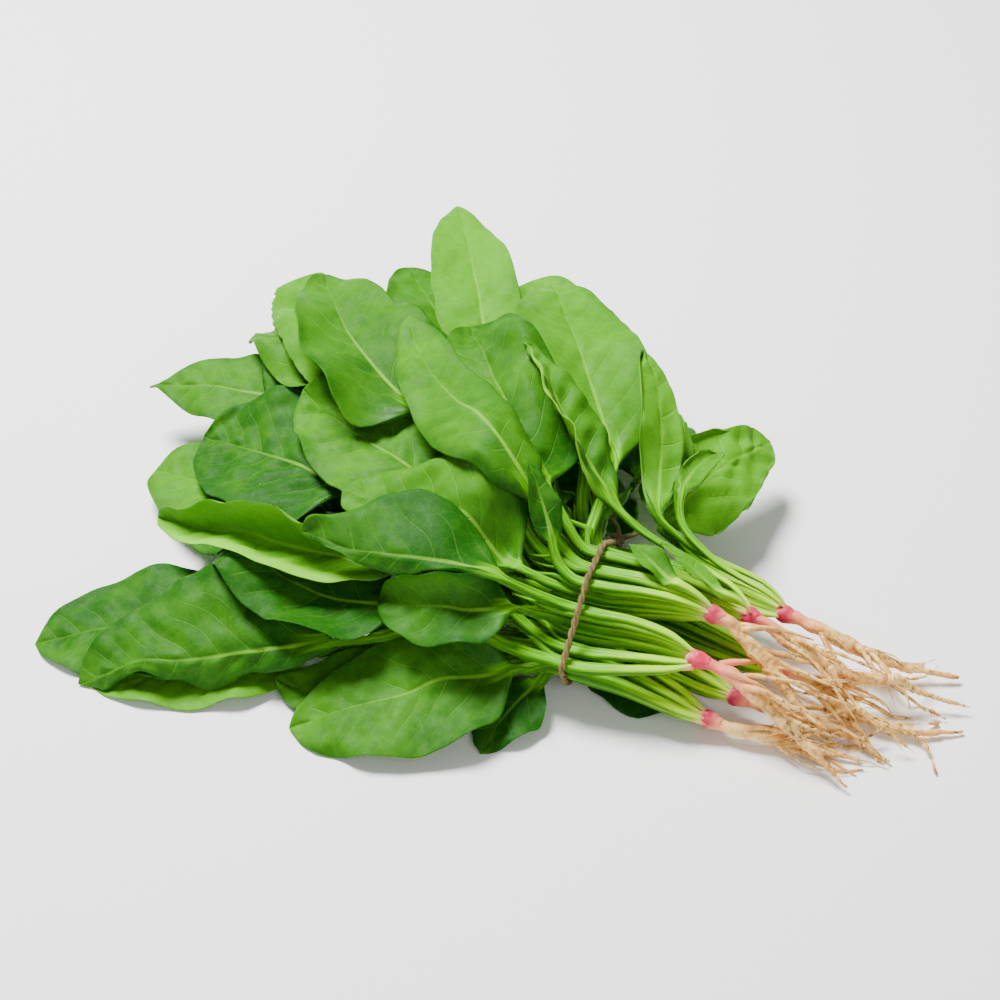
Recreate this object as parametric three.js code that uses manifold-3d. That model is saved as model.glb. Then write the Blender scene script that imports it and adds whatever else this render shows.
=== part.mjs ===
// A tied bunch of spinach: seven rooted plants, held round their leaf stalks by a loop of straw.
//
// Millimetres, +Z up. The origin lies on the table under the tie. +X runs along the stalks from the
// tie to the roots, +Y to the back, and the leaves fan out towards -X and +Y.
// Every leaf, blade and stalk together, is one closed body. The leaves are laid down one after the
// other, lowest first, and each is lifted clear of those already lying under it.

import * as THREE from 'three';
import { mergeVertices } from 'three/addons/utils/BufferGeometryUtils.js';
import Module from 'manifold-3d';

const wasm = await Module();
wasm.setup();

// ---------------------------------------------------------------- driving dimensions

const TIE_THICKNESS = 3.0;        // straw cord
const TIE_GAP = 0.5;              // cord to the stalks it holds
const TIE_HALF_ZONE = 7;          // the stalks run straight and parallel this far each side of the tie

const STALK_WIDTH = 6.4;          // a stalk at the tie
const STALK_HEIGHT = 5.6;         // over the corners of its six-sided section, if they stood upright
const STALK_HALF_HEIGHT = STALK_HEIGHT * Math.sqrt(3) / 4;   // to its flat top
const STALK_WIDTH_CROWN = 2.5;    // and where it leaves its crown
const STALK_HEIGHT_CROWN = 2.2;
const STALK_PITCH = 8.2;          // side by side in the tie
const ROW_PITCH = 6.4;            // one row over another in the tie
const ROW_COUNTS = [4, 7, 8, 9, 5, 5, 3];  // stalks in each row, lowest row first
const LOWEST_ROW_SHIFT = -7;      // middle of the lowest row, to the front of the origin
const ROW_LEAN = 1;               // each row lies this much further back than the one under it
const TIE_MIDDLE = 25;            // height of the middle row
const LEAVING_CLIMB = 0.15;       // slope of the top rows as they leave the tie, the lowest fall as much
const LEAVING_TURN = 0.5;         // share of a leaf's fan that its stalk has turned when it leaves the tie
const ARRIVING_PULL = 0.9;        // how long a stalk runs in line with its blade
const STALK_THINNING = 0.12;      // share of its height that it loses up to the blade
const STALK_SPAN = 26;            // between two cross-sections of a stalk, three at most
const STALK_ARCH = 2;             // rise of the stalks between tie and crown
const LOOSE_WIDTH = 4.8;          // a stalk that stays outside the tie
const LOOSE_HEIGHT = 3.9;
const LOOSE_FREE = 0.8;           // how freely it bends
const CROWN_SCALE = 0.36;         // how far a plant's stalks draw together at its crown
const CROWN_CLOSING = 1.7;        // over 1 keeps them spread until they are near the crown
const CROWN_STATIONS = [1, 0.84, 0.6, 0.3];   // a stalk's cross-sections, from its crown to the tie
const CROWN_GAP = 1.0;            // end of a stalk to the top of its root

const BLADE_THICKNESS = 0.9;
const RIB_HEIGHT = 2.4;           // midrib under the foot of a blade
const RIB_HEIGHT_TIP = 0.9;
const BLADE_STATIONS = [0, 0.07, 0.18, 0.31, 0.45, 0.59, 0.73, 0.86, 0.95];
const HIDDEN_STATIONS = [0, 0.1, 0.28, 0.48, 0.7, 0.9];
const SPREAD = [0.36, 0.7, 1];    // points across half a blade, from the midrib to the rim
const OUTLINE_SKEW = 0.78;        // under 1 puts the widest place nearer the foot than the middle
const OUTLINE_FULLNESS = 0.62;    // under 1 makes the outline fuller than a sine arch
const FOOT_SHARE = 0.2;           // share of the blade over which stalk turns to blade
const FOLD_SHARE = 0.3;           // share over which its fold opens
const RIB_SHARE = 0.7;            // share over which its midrib thins
const WAVE_HEIGHT = 2.2;          // rise and fall of a blade's rim
const FEWEST_WAVES = 1.6;         // along one rim

const LEAF_CLEARANCE = 0.6;       // air between leaves that lie on each other
const ROOT_CLEARANCE = 0.5;
const STEEPEST_LIFT = 0.55;       // how fast a leaf may climb over what lies under it
const HIGHEST_LIFT = 30;          // and how high
const LIFT_STARTS = 4;            // a stalk is held still this far beyond the tie
const LIFT_RAMP = 40;             // and is free to bend up after as much again as this
const BLADE_FREER = 0.2;          // how much more freely the foot of the blade bends than its stalk
const BLADE_FREEING = 2;          // and how fast that grows along the blade
const CELL = 1.3;                 // grid of the height map that the leaves are laid on
const MAP_LOW = { x: -260, y: -160 };
const MAP_SIZE = { x: 460, y: 400 };

const ROOT_SIDES = 8;
const ROOT_RINGS = 12;
const ROOT_TOP_RADIUS = 4.3;
const ROOT_NECK_RADIUS = 3.6;
const ROOT_TIP_RADIUS = 0.8;
const ROOT_FULLNESS = 1.5;        // over 1 keeps a root thick for longer
const NECK_LENGTH = 3;
const ROOT_FREEING = 6;           // how fast a root bends more freely below its shoulder
const SHOULDER_SHARE = 0.12;      // share of the root over which its top narrows
const ROOTLET_SIDES = 5;
const ROOTLET_RINGS = 4;
const ROOTLET_TIP_RADIUS = 0.5;
const ROOTLET_SWAY = 0.5;         // sideways bend, as a share of the length
const ROOTLET_RETURN = 0.3;       // how far its tip swings back, as a share of the bend
const ROOTLET_DROOP = 0.2;        // fall to the tip, as a share of the length
const ROOTLET_TIP_HEIGHT = 1.2;   // no lower than this

const KNOT_OFFSET = 1.2;          // knot outside the loop's middle, along Y and Z
const KNOT_SHAPE = [1.05, 0.95, 0.8];   // lump of the knot to a ball as wide as two cords
const KNOT_ENDS = [[10, 3, 6], [-4, 3.5, 7]];   // the cut ends, from the loop's middle
const KNOT_END_RADIUS = 1.08;

const FIRST_LEAF_SEED = 100;
const FIRST_ROOT_SEED = 7;

const LIGHT_GREEN = 0x8fc06a;
const MID_GREEN = 0x5f9e4a;
const DEEP_GREEN = 0x3d7a3a;
const LEAF_ROUGHNESS = 0.5;
const ROOT = { colour: 0xd2ad80, roughness: 0.85 };
const STRAW = { colour: 0xa18258, roughness: 0.9 };

// Each plant: its crown, where its root begins, and the middle of its stalks in the tie as [y, z].
// route: the root from its crown to its tip.
// rootlets: [share of the root, turn in degrees, length, radius].
const PLANTS = [
  {
    name: 'g', crown: [78, 2, 10], held: [10, 12],
    route: [[90, 0, 10], [102, -5, 8], [119, -7, 5.5], [136, -5, 3.5], [153, 3, 1.5]],
    rootlets: [[0.35, 24, 40, 1.6], [0.6, -30, 28, 1.1]],
  },
  {
    name: 'f', crown: [59, -31, 8.5], held: [-25, 14],
    route: [[72, -31, 7], [86, -29, 5], [101, -27, 4], [118, -25, 2]],
    rootlets: [[0.4, -20, 30, 1.2]],
  },
  {
    name: 'e', crown: [67, -20, 13], held: [-11, 12],
    route: [[80, -19, 11.5], [94, -17, 8], [108, -16, 5], [130, -22, 2]],
    rootlets: [[0.35, 26, 36, 1.5], [0.65, 30, 20, 1.0]],
  },
  {
    name: 'c', crown: [75, 21, 22], held: [21, 26],
    route: [[88, 19, 21], [103, 19, 16], [119, 21, 10], [132, 25, 6], [146, 29, 3]],
    rootlets: [[0.4, -22, 44, 1.5], [0.62, 30, 22, 1.0]],
  },
  {
    name: 'd', crown: [50, -21, 30], held: [-22, 31],
    route: [[61, -22, 29], [75, -26, 24], [88, -30, 17], [101, -34, 10], [117, -41, 3]],
    rootlets: [[0.45, 30, 30, 1.3], [0.7, 35, 20, 1.0]],
  },
  {
    name: 'b', crown: [64, 6, 32], held: [11, 37],
    route: [[75, 4, 29], [87, 2, 25], [102, 2, 19], [119, 6, 13], [136, 11, 8], [153, 14, 4]],
    rootlets: [[0.35, -24, 46, 1.6], [0.6, 30, 28, 1.1]],
  },
  {
    name: 'a', crown: [52, -7, 42], held: [-5, 37],
    route: [[62, -9, 38], [73, -13, 31], [84, -17, 23], [94, -22, 14], [104, -26, 8]],
    rootlets: [[0.3, 34, 50, 1.7], [0.6, 30, 30, 1.2]],
  },
];

// The leaves held by the tie, in the order they lie, lowest first.
// base, tip: ends of the blade's midrib. bow: how far the midrib swings to the right. rise: how far it
// arches. right, left: half width, fold at the midrib and further bend to the rim, degrees upwards.
// point: over 1 for a pointed blade, under 1 for a blunt one. foot: under 1 for a blade broad at its foot.
const TIED_LEAVES = [
  { base: [-48, -44, 5], tip: [-92, -74, 0], bow: 0, rise: 2, right: [18, 4, 0], left: [16, 0, 0],
    point: 1, tone: DEEP_GREEN, hidden: true },
  { base: [-105, -52, 5], tip: [-181, -93, 0], bow: 1, rise: 1, right: [26, 0, 0], left: [20, 0, 0],
    point: 1, tone: DEEP_GREEN },
  { base: [-92, 18, 6], tip: [-172, 30, 0], bow: 2, rise: 3, right: [26, 6, 0], left: [26, 6, 0],
    point: 1, tone: MID_GREEN, hidden: true },
  { base: [-66, 62, 6], tip: [-118, 112, 0], bow: 0, rise: 3, right: [26, 6, 0], left: [26, 6, 0],
    point: 1, tone: MID_GREEN, hidden: true },

  { base: [-24, 4, 10], tip: [-46, 8, 8], bow: 0, rise: 1, right: [9, 6, 0], left: [9, 6, 0],
    point: 1, tone: MID_GREEN, hidden: true },
  { base: [-11, -35, 8], tip: [-22, -72, 1], bow: 2, rise: 1, right: [15, 0, 0], left: [14, 0, 0],
    point: 1.2, tone: DEEP_GREEN },
  { base: [-57, -51, 7], tip: [-111, -69, 1], bow: -4, rise: 1, right: [18, 10, 0], left: [16, -5, 0],
    point: 1, tone: DEEP_GREEN },
  { base: [-128, -48, 14], tip: [-214, -80, 0], bow: 2, rise: 3, right: [27, 8, 0], left: [28, -4, 0],
    point: 0.9, tone: MID_GREEN },
  { base: [-128, 12, 18], tip: [-208, 22, 8], bow: -2, rise: 3, right: [31, 12, 0], left: [28, 0, 0],
    point: 0.8, tone: LIGHT_GREEN },
  { base: [-80, 46, 12], tip: [-150, 88, 1], bow: 0, rise: 4, right: [26, 6, 0], left: [26, 6, 0],
    point: 1, tone: MID_GREEN, hidden: true },
  { base: [-26, 82, 8], tip: [-52, 146, 0], bow: 0, rise: 4, right: [26, 6, 0], left: [26, 6, 0],
    point: 1, tone: MID_GREEN, hidden: true },

  { base: [-14, 44, 8], tip: [-30, 88, 0], bow: 0, rise: 3, right: [20, 6, 0], left: [20, 6, 0],
    point: 1, tone: DEEP_GREEN, hidden: true },
  { base: [-34, -30, 21], tip: [-82, -42, 15], bow: 0, rise: 2, right: [15, 10, 0], left: [12, 0, 0],
    point: 1, tone: MID_GREEN },
  { base: [-21, -40, 15], tip: [-98, -86, 1], bow: -1, rise: 5, right: [25, 10, -10], left: [28, -6, -8],
    point: 0.8, tone: MID_GREEN },
  { base: [-92, -55, 22], tip: [-187, -94, 1], bow: -2, rise: 5, right: [37, 36, -25], left: [12, -45, -40],
    point: 1, tone: MID_GREEN },
  { base: [-112, -4, 22], tip: [-176, -12, 12], bow: 0, rise: 3, right: [24, 6, 0], left: [24, 6, 0],
    point: 1, tone: MID_GREEN, hidden: true },
  { base: [-145, 60, 30], tip: [-225, 55, 24], bow: 2, rise: 4, right: [20, 10, 0], left: [20, -20, 0],
    point: 1.5, tone: LIGHT_GREEN },
  { base: [-104, 40, 26], tip: [-176, 76, 16], bow: 0, rise: 3, right: [24, 6, 0], left: [24, 6, 0],
    point: 1, tone: MID_GREEN, hidden: true },
  { base: [-62, 84, 22], tip: [-100, 138, 12], bow: 0, rise: 3, right: [24, 6, 0], left: [24, 6, 0],
    point: 1, tone: MID_GREEN, hidden: true },
  { base: [-6, 78, 20], tip: [-12, 132, 8], bow: 0, rise: 3, right: [22, 6, 0], left: [22, 6, 0],
    point: 1, tone: MID_GREEN, hidden: true },

  { base: [-30, 46, 26], tip: [-48, 76, 27], bow: 0, rise: 2, right: [12, 6, 0], left: [12, 6, 0],
    point: 1, tone: DEEP_GREEN, hidden: true },
  { base: [-70, -36, 32], tip: [-150, -35, 20], bow: -4, rise: 1, right: [24, 20, 10], left: [25, 10, 15],
    point: 0.9, tone: MID_GREEN },
  { base: [-112, 15, 36], tip: [-190, 36, 20], bow: 0, rise: 4, right: [34, 16, 0], left: [33, -6, -6],
    point: 0.75, tone: DEEP_GREEN },
  { base: [-124, 64, 34], tip: [-190, 93, 28], bow: -1, rise: 2, right: [20, 10, 0], left: [20, 0, 0],
    point: 1, tone: DEEP_GREEN },
  { base: [-112, 59, 42], tip: [-185, 131, 38], bow: -3, rise: 4, right: [27, 8, 0], left: [27, 8, 0],
    point: 0.8, tone: LIGHT_GREEN },
  { base: [-80, 84, 40], tip: [-141, 155, 38], bow: -1, rise: 4, right: [25, 10, 0], left: [26, 8, 0],
    point: 1, tone: DEEP_GREEN },
  { base: [-38, 54, 27], tip: [-64, 103, 24], bow: 0, rise: 3, right: [20, 6, 0], left: [20, 6, 0],
    point: 1, tone: MID_GREEN, hidden: true },
  { base: [-28, 84, 33], tip: [-86, 169, 35], bow: 0, rise: 5, right: [29, 10, 0], left: [30, 12, 0],
    point: 0.9, tone: DEEP_GREEN },
  { base: [-74, 82, 50], tip: [-130, 188, 52], bow: 1, rise: 6, right: [18, 8, 0], left: [21, 10, 0],
    point: 1, tone: LIGHT_GREEN },
  { base: [-58, 20, 38], tip: [-116, 52, 32], bow: 0, rise: 3, right: [22, 6, 0], left: [22, 6, 0],
    point: 1, tone: MID_GREEN, hidden: true },

  { base: [-24, 12, 36], tip: [-42, 23, 36], bow: 0, rise: 1, right: [7, 8, 0], left: [7, 8, 0],
    point: 1, tone: DEEP_GREEN, hidden: true },
  { base: [-74, -24, 40], tip: [-185, -19, 26], bow: -5, rise: 5, right: [24, 70, 60], left: [19, 10, 0],
    point: 0.9, tone: LIGHT_GREEN },
  { base: [-25, -31, 42], tip: [-78, -37, 32], bow: -5, rise: 3, right: [20, 50, 80], left: [16, -12, 0],
    point: 0.7, tone: MID_GREEN },
  { base: [-58, 14, 44], tip: [-148, 51, 42], bow: -2, rise: 4, right: [28, 6, 0], left: [28, -4, 0],
    point: 0.8, tone: MID_GREEN },
  { base: [-28, -13, 43], tip: [-110, 3, 42], bow: 3, rise: 6, right: [26, 8, 0], left: [25, 4, 0],
    point: 0.9, tone: MID_GREEN },
  { base: [-94, 50, 52], tip: [-168, 123, 51], bow: -9, rise: 7, right: [33, 14, 0], left: [29, 12, 20],
    point: 0.9, foot: 0.62, tone: LIGHT_GREEN },
  { base: [-8, 49, 54], tip: [-68, 143, 57], bow: -1, rise: 10, right: [26, 4, 0], left: [30, 20, 0],
    point: 0.9, tone: LIGHT_GREEN },

  { base: [-30, -28, 55], tip: [-112, -34, 45], bow: -3, rise: 9, right: [28, 26, -10], left: [7, -40, -20],
    point: 1.3, tone: LIGHT_GREEN },
  { base: [-28, 20, 56], tip: [-91, 102, 60], bow: -3, rise: 6, right: [27, 16, 0], left: [24, 12, 0],
    point: 0.8, tone: MID_GREEN },
  { base: [-28, 8, 57], tip: [-116, 93, 61], bow: -9, rise: 9, right: [18, 16, 0], left: [17, 0, -20],
    point: 0.85, tone: LIGHT_GREEN },
  { base: [-18, -2, 53], tip: [-34, 16, 66], bow: 0, rise: 3, right: [8, 30, 0], left: [8, 30, 0],
    point: 1, tone: MID_GREEN, hidden: true },
];

// Leaves that stay outside the tie. plant, and aside: where the stalk leaves the crown, from its middle
// as [y, z]. via: points that the stalk passes. over: the leaf lies on top of the other stalks.
const LOOSE_LEAVES = [
  { plant: 'f', aside: [4, -5.6], via: [[50, -25, 2.4]], base: [43, -23, 1.9], tip: [3, -20, 1.6], bow: 0,
    rise: 0, right: [11, 0, 0], left: [12, 0, 0], point: 1, tone: DEEP_GREEN, hidden: true },
  { plant: 'c', aside: [7, -3], via: [[56, 31, 20], [30, 38, 24]], base: [14, 46, 30], tip: [42, 114, 24],
    bow: -2, rise: 4, right: [30, -18, 0], left: [27, 26, 0], point: 0.7, foot: 0.75, tone: MID_GREEN },
  { plant: 'c', aside: [7, 1], via: [[56, 30, 26], [30, 35, 31]], base: [12, 46, 38], tip: [-3, 104, 36],
    bow: 4, rise: 4, right: [12, 10, 0], left: [10, 10, 0], point: 1, tone: DEEP_GREEN },
  { plant: 'c', aside: [6, 5], via: [[56, 28, 32], [30, 31, 37]], base: [13, 38, 45], tip: [-12, 99, 47],
    bow: 5, rise: 6, right: [11, 0, 0], left: [13, 10, 0], point: 0.8, tone: LIGHT_GREEN },
  { plant: 'c', aside: [1, 7], via: [[57, 23, 33], [38, 27, 38], [24, 36, 42]], base: [21, 47, 45],
    tip: [30, 78, 46], bow: -2, rise: 3, right: [9, 20, 0], left: [8, 30, 20], point: 1,
    tone: DEEP_GREEN, hidden: true },
  { plant: 'b', aside: [4, 6], via: [[46, 17, 38], [27, 22, 40.5], [10, 26, 44]], base: [-3, 30, 51],
    tip: [-60, 82, 70], bow: -3, rise: 9, right: [14, -10, 0], left: [13, 50, 10], point: 1.2,
    tone: DEEP_GREEN },
  { plant: 'a', aside: [0, 6.6], via: [[46, -6, 50]], base: [34, -5, 50], tip: [11, 9, 52], bow: 0,
    rise: 2, right: [6, 20, 0], left: [6, 20, 0], point: 1, tone: DEEP_GREEN, hidden: true, over: true },
  { plant: 'b', aside: [-1, 6.6], via: [[60, 3, 43]], base: [52, 0, 46], tip: [24, 8, 50], bow: 0,
    rise: 2, right: [7, 15, 0], left: [6, 20, 0], point: 1, tone: LIGHT_GREEN, hidden: true, over: true },
];

// ---------------------------------------------------------------- small helpers

const vec = (p) => new THREE.Vector3(p[0], p[1], p[2]);
const radians = (degrees) => degrees * Math.PI / 180;
const ease = (t) => t * t * (3 - 2 * t);
const clamp01 = (t) => Math.min(1, Math.max(0, t));

function seededRandom(seed) {
  let state = seed >>> 0;
  return () => {
    state = (state * 1664525 + 1013904223) >>> 0;
    return state / 4294967296;
  };
}

// Right-hand side and upward direction of a thing that runs along a tangent.
function frameOf(tangent) {
  const side = new THREE.Vector3().crossVectors(tangent, new THREE.Vector3(0, 0, 1)).normalize();
  return { side, up: new THREE.Vector3().crossVectors(side, tangent).normalize() };
}

// ---------------------------------------------------------------- rings of points joined to a body

// A body under construction. Each vertex is moved by one lift: free says how far that lift may act.
class Body {
  constructor() {
    this.points = [];
    this.liftOf = [];
    this.triangles = [];
    this.lifts = [];
    this.links = [];
  }

  addLift(at, free) {
    this.lifts.push({ at, free, height: 0 });
    return this.lifts.length - 1;
  }

  addPoint(point, lift) {
    this.points.push(point);
    this.liftOf.push(lift);
    return this.points.length - 1;
  }

  // Two lifts side by side, whose heights may differ by only so much a millimetre.
  link(a, b) {
    const from = this.lifts[a].at;
    const to = this.lifts[b].at;
    this.links.push([a, b, Math.hypot(from.x - to.x, from.y - to.y)]);
  }

  // Raises the body until it clears the map everywhere, then moves its points there.
  settle(map, clearance) {
    const mostPasses = 60;
    for (let pass = 0; pass < mostPasses; pass += 1) {
      const short = this.raiseOff(map, clearance);
      this.spreadLifts();
      if (!short) break;
    }
    this.points.forEach((point, i) => { point.z += this.lifts[this.liftOf[i]].height; });
    this.lifts.forEach((lift) => { lift.height = 0; });
  }

  // Raises the corners of each triangle that lies too low, most where they bear on the low place.
  raiseOff(map, clearance) {
    const closeEnough = 1e-3;
    const leastGive = 0.02;
    const mostShare = 1.2;
    let short = false;
    for (const triangle of this.triangles) {
      const lifts = triangle.map((i) => this.lifts[this.liftOf[i]]);
      const corners = triangle.map((i) => this.points[i]);
      map.sample(corners, (weights, floor) => {
        let height = 0;
        let give = 0;
        for (let k = 0; k < 3; k += 1) {
          height += weights[k] * (corners[k].z + lifts[k].height);
          give += weights[k] * weights[k] * lifts[k].free;
        }
        const lack = (floor > 0 ? floor + clearance : 0) - height;
        if (lack <= closeEnough || give < leastGive) return;
        short = true;
        for (let k = 0; k < 3; k += 1) {
          const share = Math.min(mostShare, weights[k] * lifts[k].free / give);
          lifts[k].height = Math.min(lifts[k].height + lack * share, HIGHEST_LIFT * lifts[k].free);
        }
      });
    }
    return short;
  }

  spreadLifts() {
    const passes = 6;
    for (let pass = 0; pass < passes; pass += 1) {
      for (const [a, b, run] of this.links) {
        const first = this.lifts[a];
        const second = this.lifts[b];
        const fall = run * STEEPEST_LIFT;
        second.height = Math.max(second.height, (first.height - fall) * second.free);
        first.height = Math.max(first.height, (second.height - fall) * first.free);
      }
    }
  }

  geometry() {
    const geometry = new THREE.BufferGeometry();
    const flat = this.points.flatMap((p) => [p.x, p.y, p.z]);
    geometry.setAttribute('position', new THREE.Float32BufferAttribute(flat, 3));
    geometry.setIndex(this.triangles.flat());
    return geometry;
  }
}

// Heights of the tops of what already lies on the table.
class HeightMap {
  constructor() {
    this.columns = Math.ceil(MAP_SIZE.x / CELL);
    this.rows = Math.ceil(MAP_SIZE.y / CELL);
    this.top = new Float32Array(this.columns * this.rows);
    this.wide = new Float32Array(this.columns * this.rows);
  }

  // Visits each cell under a triangle, with the shares that the three corners have there.
  each([a, b, c], visit) {
    const tiny = 1e-6;
    const area = (b.x - a.x) * (c.y - a.y) - (c.x - a.x) * (b.y - a.y);
    if (Math.abs(area) < tiny) return;
    const first = (value, low) => Math.ceil((value - low) / CELL);
    const last = (value, low) => Math.floor((value - low) / CELL);
    const i1 = last(Math.max(a.x, b.x, c.x), MAP_LOW.x);
    const j1 = last(Math.max(a.y, b.y, c.y), MAP_LOW.y);
    for (let i = first(Math.min(a.x, b.x, c.x), MAP_LOW.x); i <= i1; i += 1) {
      for (let j = first(Math.min(a.y, b.y, c.y), MAP_LOW.y); j <= j1; j += 1) {
        const x = MAP_LOW.x + i * CELL;
        const y = MAP_LOW.y + j * CELL;
        const u = ((b.x - x) * (c.y - y) - (c.x - x) * (b.y - y)) / area;
        const v = ((c.x - x) * (a.y - y) - (a.x - x) * (c.y - y)) / area;
        const w = 1 - u - v;
        if (Math.min(u, v, w) > -tiny) visit([u, v, w], j * this.columns + i);
      }
    }
  }

  // The same at the corners too, and with the height to clear.
  sample(corners, visit) {
    corners.forEach((corner, k) => {
      const i = Math.round((corner.x - MAP_LOW.x) / CELL);
      const j = Math.round((corner.y - MAP_LOW.y) / CELL);
      visit([0, 1, 2].map((m) => (m === k ? 1 : 0)), this.wide[j * this.columns + i]);
    });
    this.each(corners, (weights, cell) => visit(weights, this.wide[cell]));
  }

  add(body, keep = () => true) {
    for (const triangle of body.triangles) {
      const corners = triangle.map((i) => body.points[i]);
      if (!corners.every(keep)) continue;
      this.each(corners, ([u, v, w], cell) => {
        const height = u * corners[0].z + v * corners[1].z + w * corners[2].z;
        this.top[cell] = Math.max(this.top[cell], height);
      });
    }
    this.widen();
  }

  // The highest top within one cell each way, so that nothing slips in between two cells.
  widen() {
    for (let j = 1; j < this.rows - 1; j += 1) {
      for (let i = 1; i < this.columns - 1; i += 1) {
        let height = 0;
        for (let n = -1; n <= 1; n += 1) {
          const row = (j + n) * this.columns + i;
          height = Math.max(height, this.top[row - 1], this.top[row], this.top[row + 1]);
        }
        this.wide[j * this.columns + i] = height;
      }
    }
  }
}

// ---------------------------------------------------------------- leaf

// Outline of a blade: half width as a share of the widest, from its foot (0) to its tip (1).
function outline(along, { point = 1, foot = 1 }) {
  return Math.sin(Math.PI * along ** (OUTLINE_SKEW * foot)) ** (OUTLINE_FULLNESS * point);
}

function bladePoint(leaf, along) {
  const base = vec(leaf.base);
  const tip = vec(leaf.tip);
  const run = tip.clone().sub(base);
  const { side, up } = frameOf(run.clone().normalize());
  const arch = 4 * along * (1 - along);
  base.addScaledVector(run, along);
  base.addScaledVector(side, leaf.bow * arch);
  return base.addScaledVector(up, leaf.rise * arch);
}

function bladeTangent(leaf, along) {
  const step = 0.01;
  return bladePoint(leaf, along + step).sub(bladePoint(leaf, along - step)).normalize();
}

// One side of a blade's cross-section: place and slope at each point of the spread.
function halfSection([halfWidth, fold, bend], opened) {
  const section = [];
  let across = 0;
  let height = 0;
  let last = 0;
  SPREAD.forEach((share, i) => {
    const angle = radians(opened * (fold + bend * (i + 0.5) / SPREAD.length));
    const step = (share - last) * halfWidth;
    across += step * Math.cos(angle);
    height += step * Math.sin(angle);
    last = share;
    section.push({ hand: 1, share, across, height, angle });
  });
  return section;
}

// The seven columns of a cross-section: right rim, midrib in the middle, left rim.
function wholeSection(leaf, along) {
  const grown = ease(clamp01(along / FOOT_SHARE));
  const opened = ease(clamp01(along / FOLD_SHARE));
  const half = ([width, fold, bend]) => {
    const narrowest = (1 - grown) * STALK_WIDTH / 2;
    return halfSection([Math.max(width * outline(along, leaf), narrowest), fold, bend], opened);
  };
  const middle = { hand: 1, share: 0, across: 0, height: 0, angle: 0 };
  const left = half(leaf.left).map((place) => ({ ...place, hand: -1 }));
  return [...half(leaf.right).reverse(), middle, ...left];
}

// Points on the blade's middle surface at one place along it, with the way to its upper and lower face.
function bladeColumns(leaf, along, wave) {
  const centre = bladePoint(leaf, along);
  const { side, up } = frameOf(bladeTangent(leaf, along));
  const grown = ease(clamp01(along / FOOT_SHARE));
  const rib = THREE.MathUtils.lerp(RIB_HEIGHT, RIB_HEIGHT_TIP, ease(clamp01(along / RIB_SHARE)));

  return wholeSection(leaf, along).map(({ hand, share, across, height, angle }) => {
    const ripple = wave(along, hand) * share * share * grown * WAVE_HEIGHT;
    const at = centre.clone().addScaledVector(side, hand * across).addScaledVector(up, height + ripple);
    const out = side.clone().multiplyScalar(-hand * Math.sin(angle)).addScaledVector(up, Math.cos(angle));
    const round = Math.sqrt(1 - share * share) * STALK_HALF_HEIGHT;
    const thin = BLADE_THICKNESS / 2;
    const over = THREE.MathUtils.lerp(round, thin, grown);
    const under = THREE.MathUtils.lerp(round, share === 0 ? rib : thin, grown);
    return { at, over: out.clone().multiplyScalar(over), under: out.clone().multiplyScalar(-under) };
  });
}

function stalkRing(body, { at: centre, width, height, free }, tangent) {
  const { side, up } = frameOf(tangent);
  const lift = body.addLift(centre, free);
  const ring = [];
  for (let k = 0; k < 6; k += 1) {
    const angle = k * Math.PI / 3;
    const point = centre.clone().addScaledVector(side, Math.cos(angle) * width / 2);
    ring.push(body.addPoint(point.addScaledVector(up, Math.sin(angle) * height / 2), lift));
  }
  return { ring, lift };
}

function joinStalk(body, a, b) {
  for (let k = 0; k < 6; k += 1) {
    const n = (k + 1) % 6;
    body.triangles.push([a.ring[k], b.ring[k], b.ring[n]], [a.ring[k], b.ring[n], a.ring[n]]);
  }
  body.link(a.lift, b.lift);
}

// The six-sided stalk opens into the twelve points of the blade's first ring.
function joinFoot(body, stalk, blade) {
  for (let k = 0; k < 6; k += 1) {
    const n = (k + 1) % 6;
    const [s0, s1] = [stalk.ring[k], stalk.ring[n]];
    const [b0, b1, b2] = [2 * k, 2 * k + 1, (2 * k + 2) % 12].map((i) => blade.ring[i]);
    body.triangles.push([s0, b0, b1], [s0, b1, s1], [s1, b1, b2]);
  }
  body.link(stalk.lift, blade.lifts[3]);
}

// Both faces are split along the same diagonals, which run outwards and forwards as side veins do.
function joinBlade(body, a, b) {
  for (let c = 0; c < 6; c += 1) {
    const rightHalf = c < 3;
    const top = [c, c + 1];
    const bottom = [12 - c, 11 - c].map((i) => i % 12);
    const [a0, a1, b0, b1] = [a.ring[top[0]], a.ring[top[1]], b.ring[top[0]], b.ring[top[1]]];
    const [p0, p1, q0, q1] = [a.ring[bottom[0]], a.ring[bottom[1]], b.ring[bottom[0]], b.ring[bottom[1]]];
    if (rightHalf) {
      body.triangles.push([a0, b0, a1], [a1, b0, b1], [p0, p1, q0], [p1, q1, q0]);
    } else {
      body.triangles.push([a0, b0, b1], [a0, b1, a1], [p0, q1, q0], [p0, p1, q1]);
    }
    body.link(a.lifts[c], a.lifts[c + 1]);
    body.link(a.lifts[c], b.lifts[c]);
  }
  body.link(a.lifts[6], b.lifts[6]);
}

function addBladeRing(body, columns, rigid, free) {
  const shared = rigid ? body.addLift(columns[3].at, free) : null;
  const lifts = columns.map(({ at }) => (rigid ? shared : body.addLift(at, free)));
  const ring = columns.map(({ at, over }, c) => {
    const rim = c === 0 || c === 6;
    return body.addPoint(rim ? at.clone() : at.clone().add(over), lifts[c]);
  });
  for (let c = 5; c > 0; c -= 1) {
    ring.push(body.addPoint(columns[c].at.clone().add(columns[c].under), lifts[c]));
  }
  return { ring, lifts };
}

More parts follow.
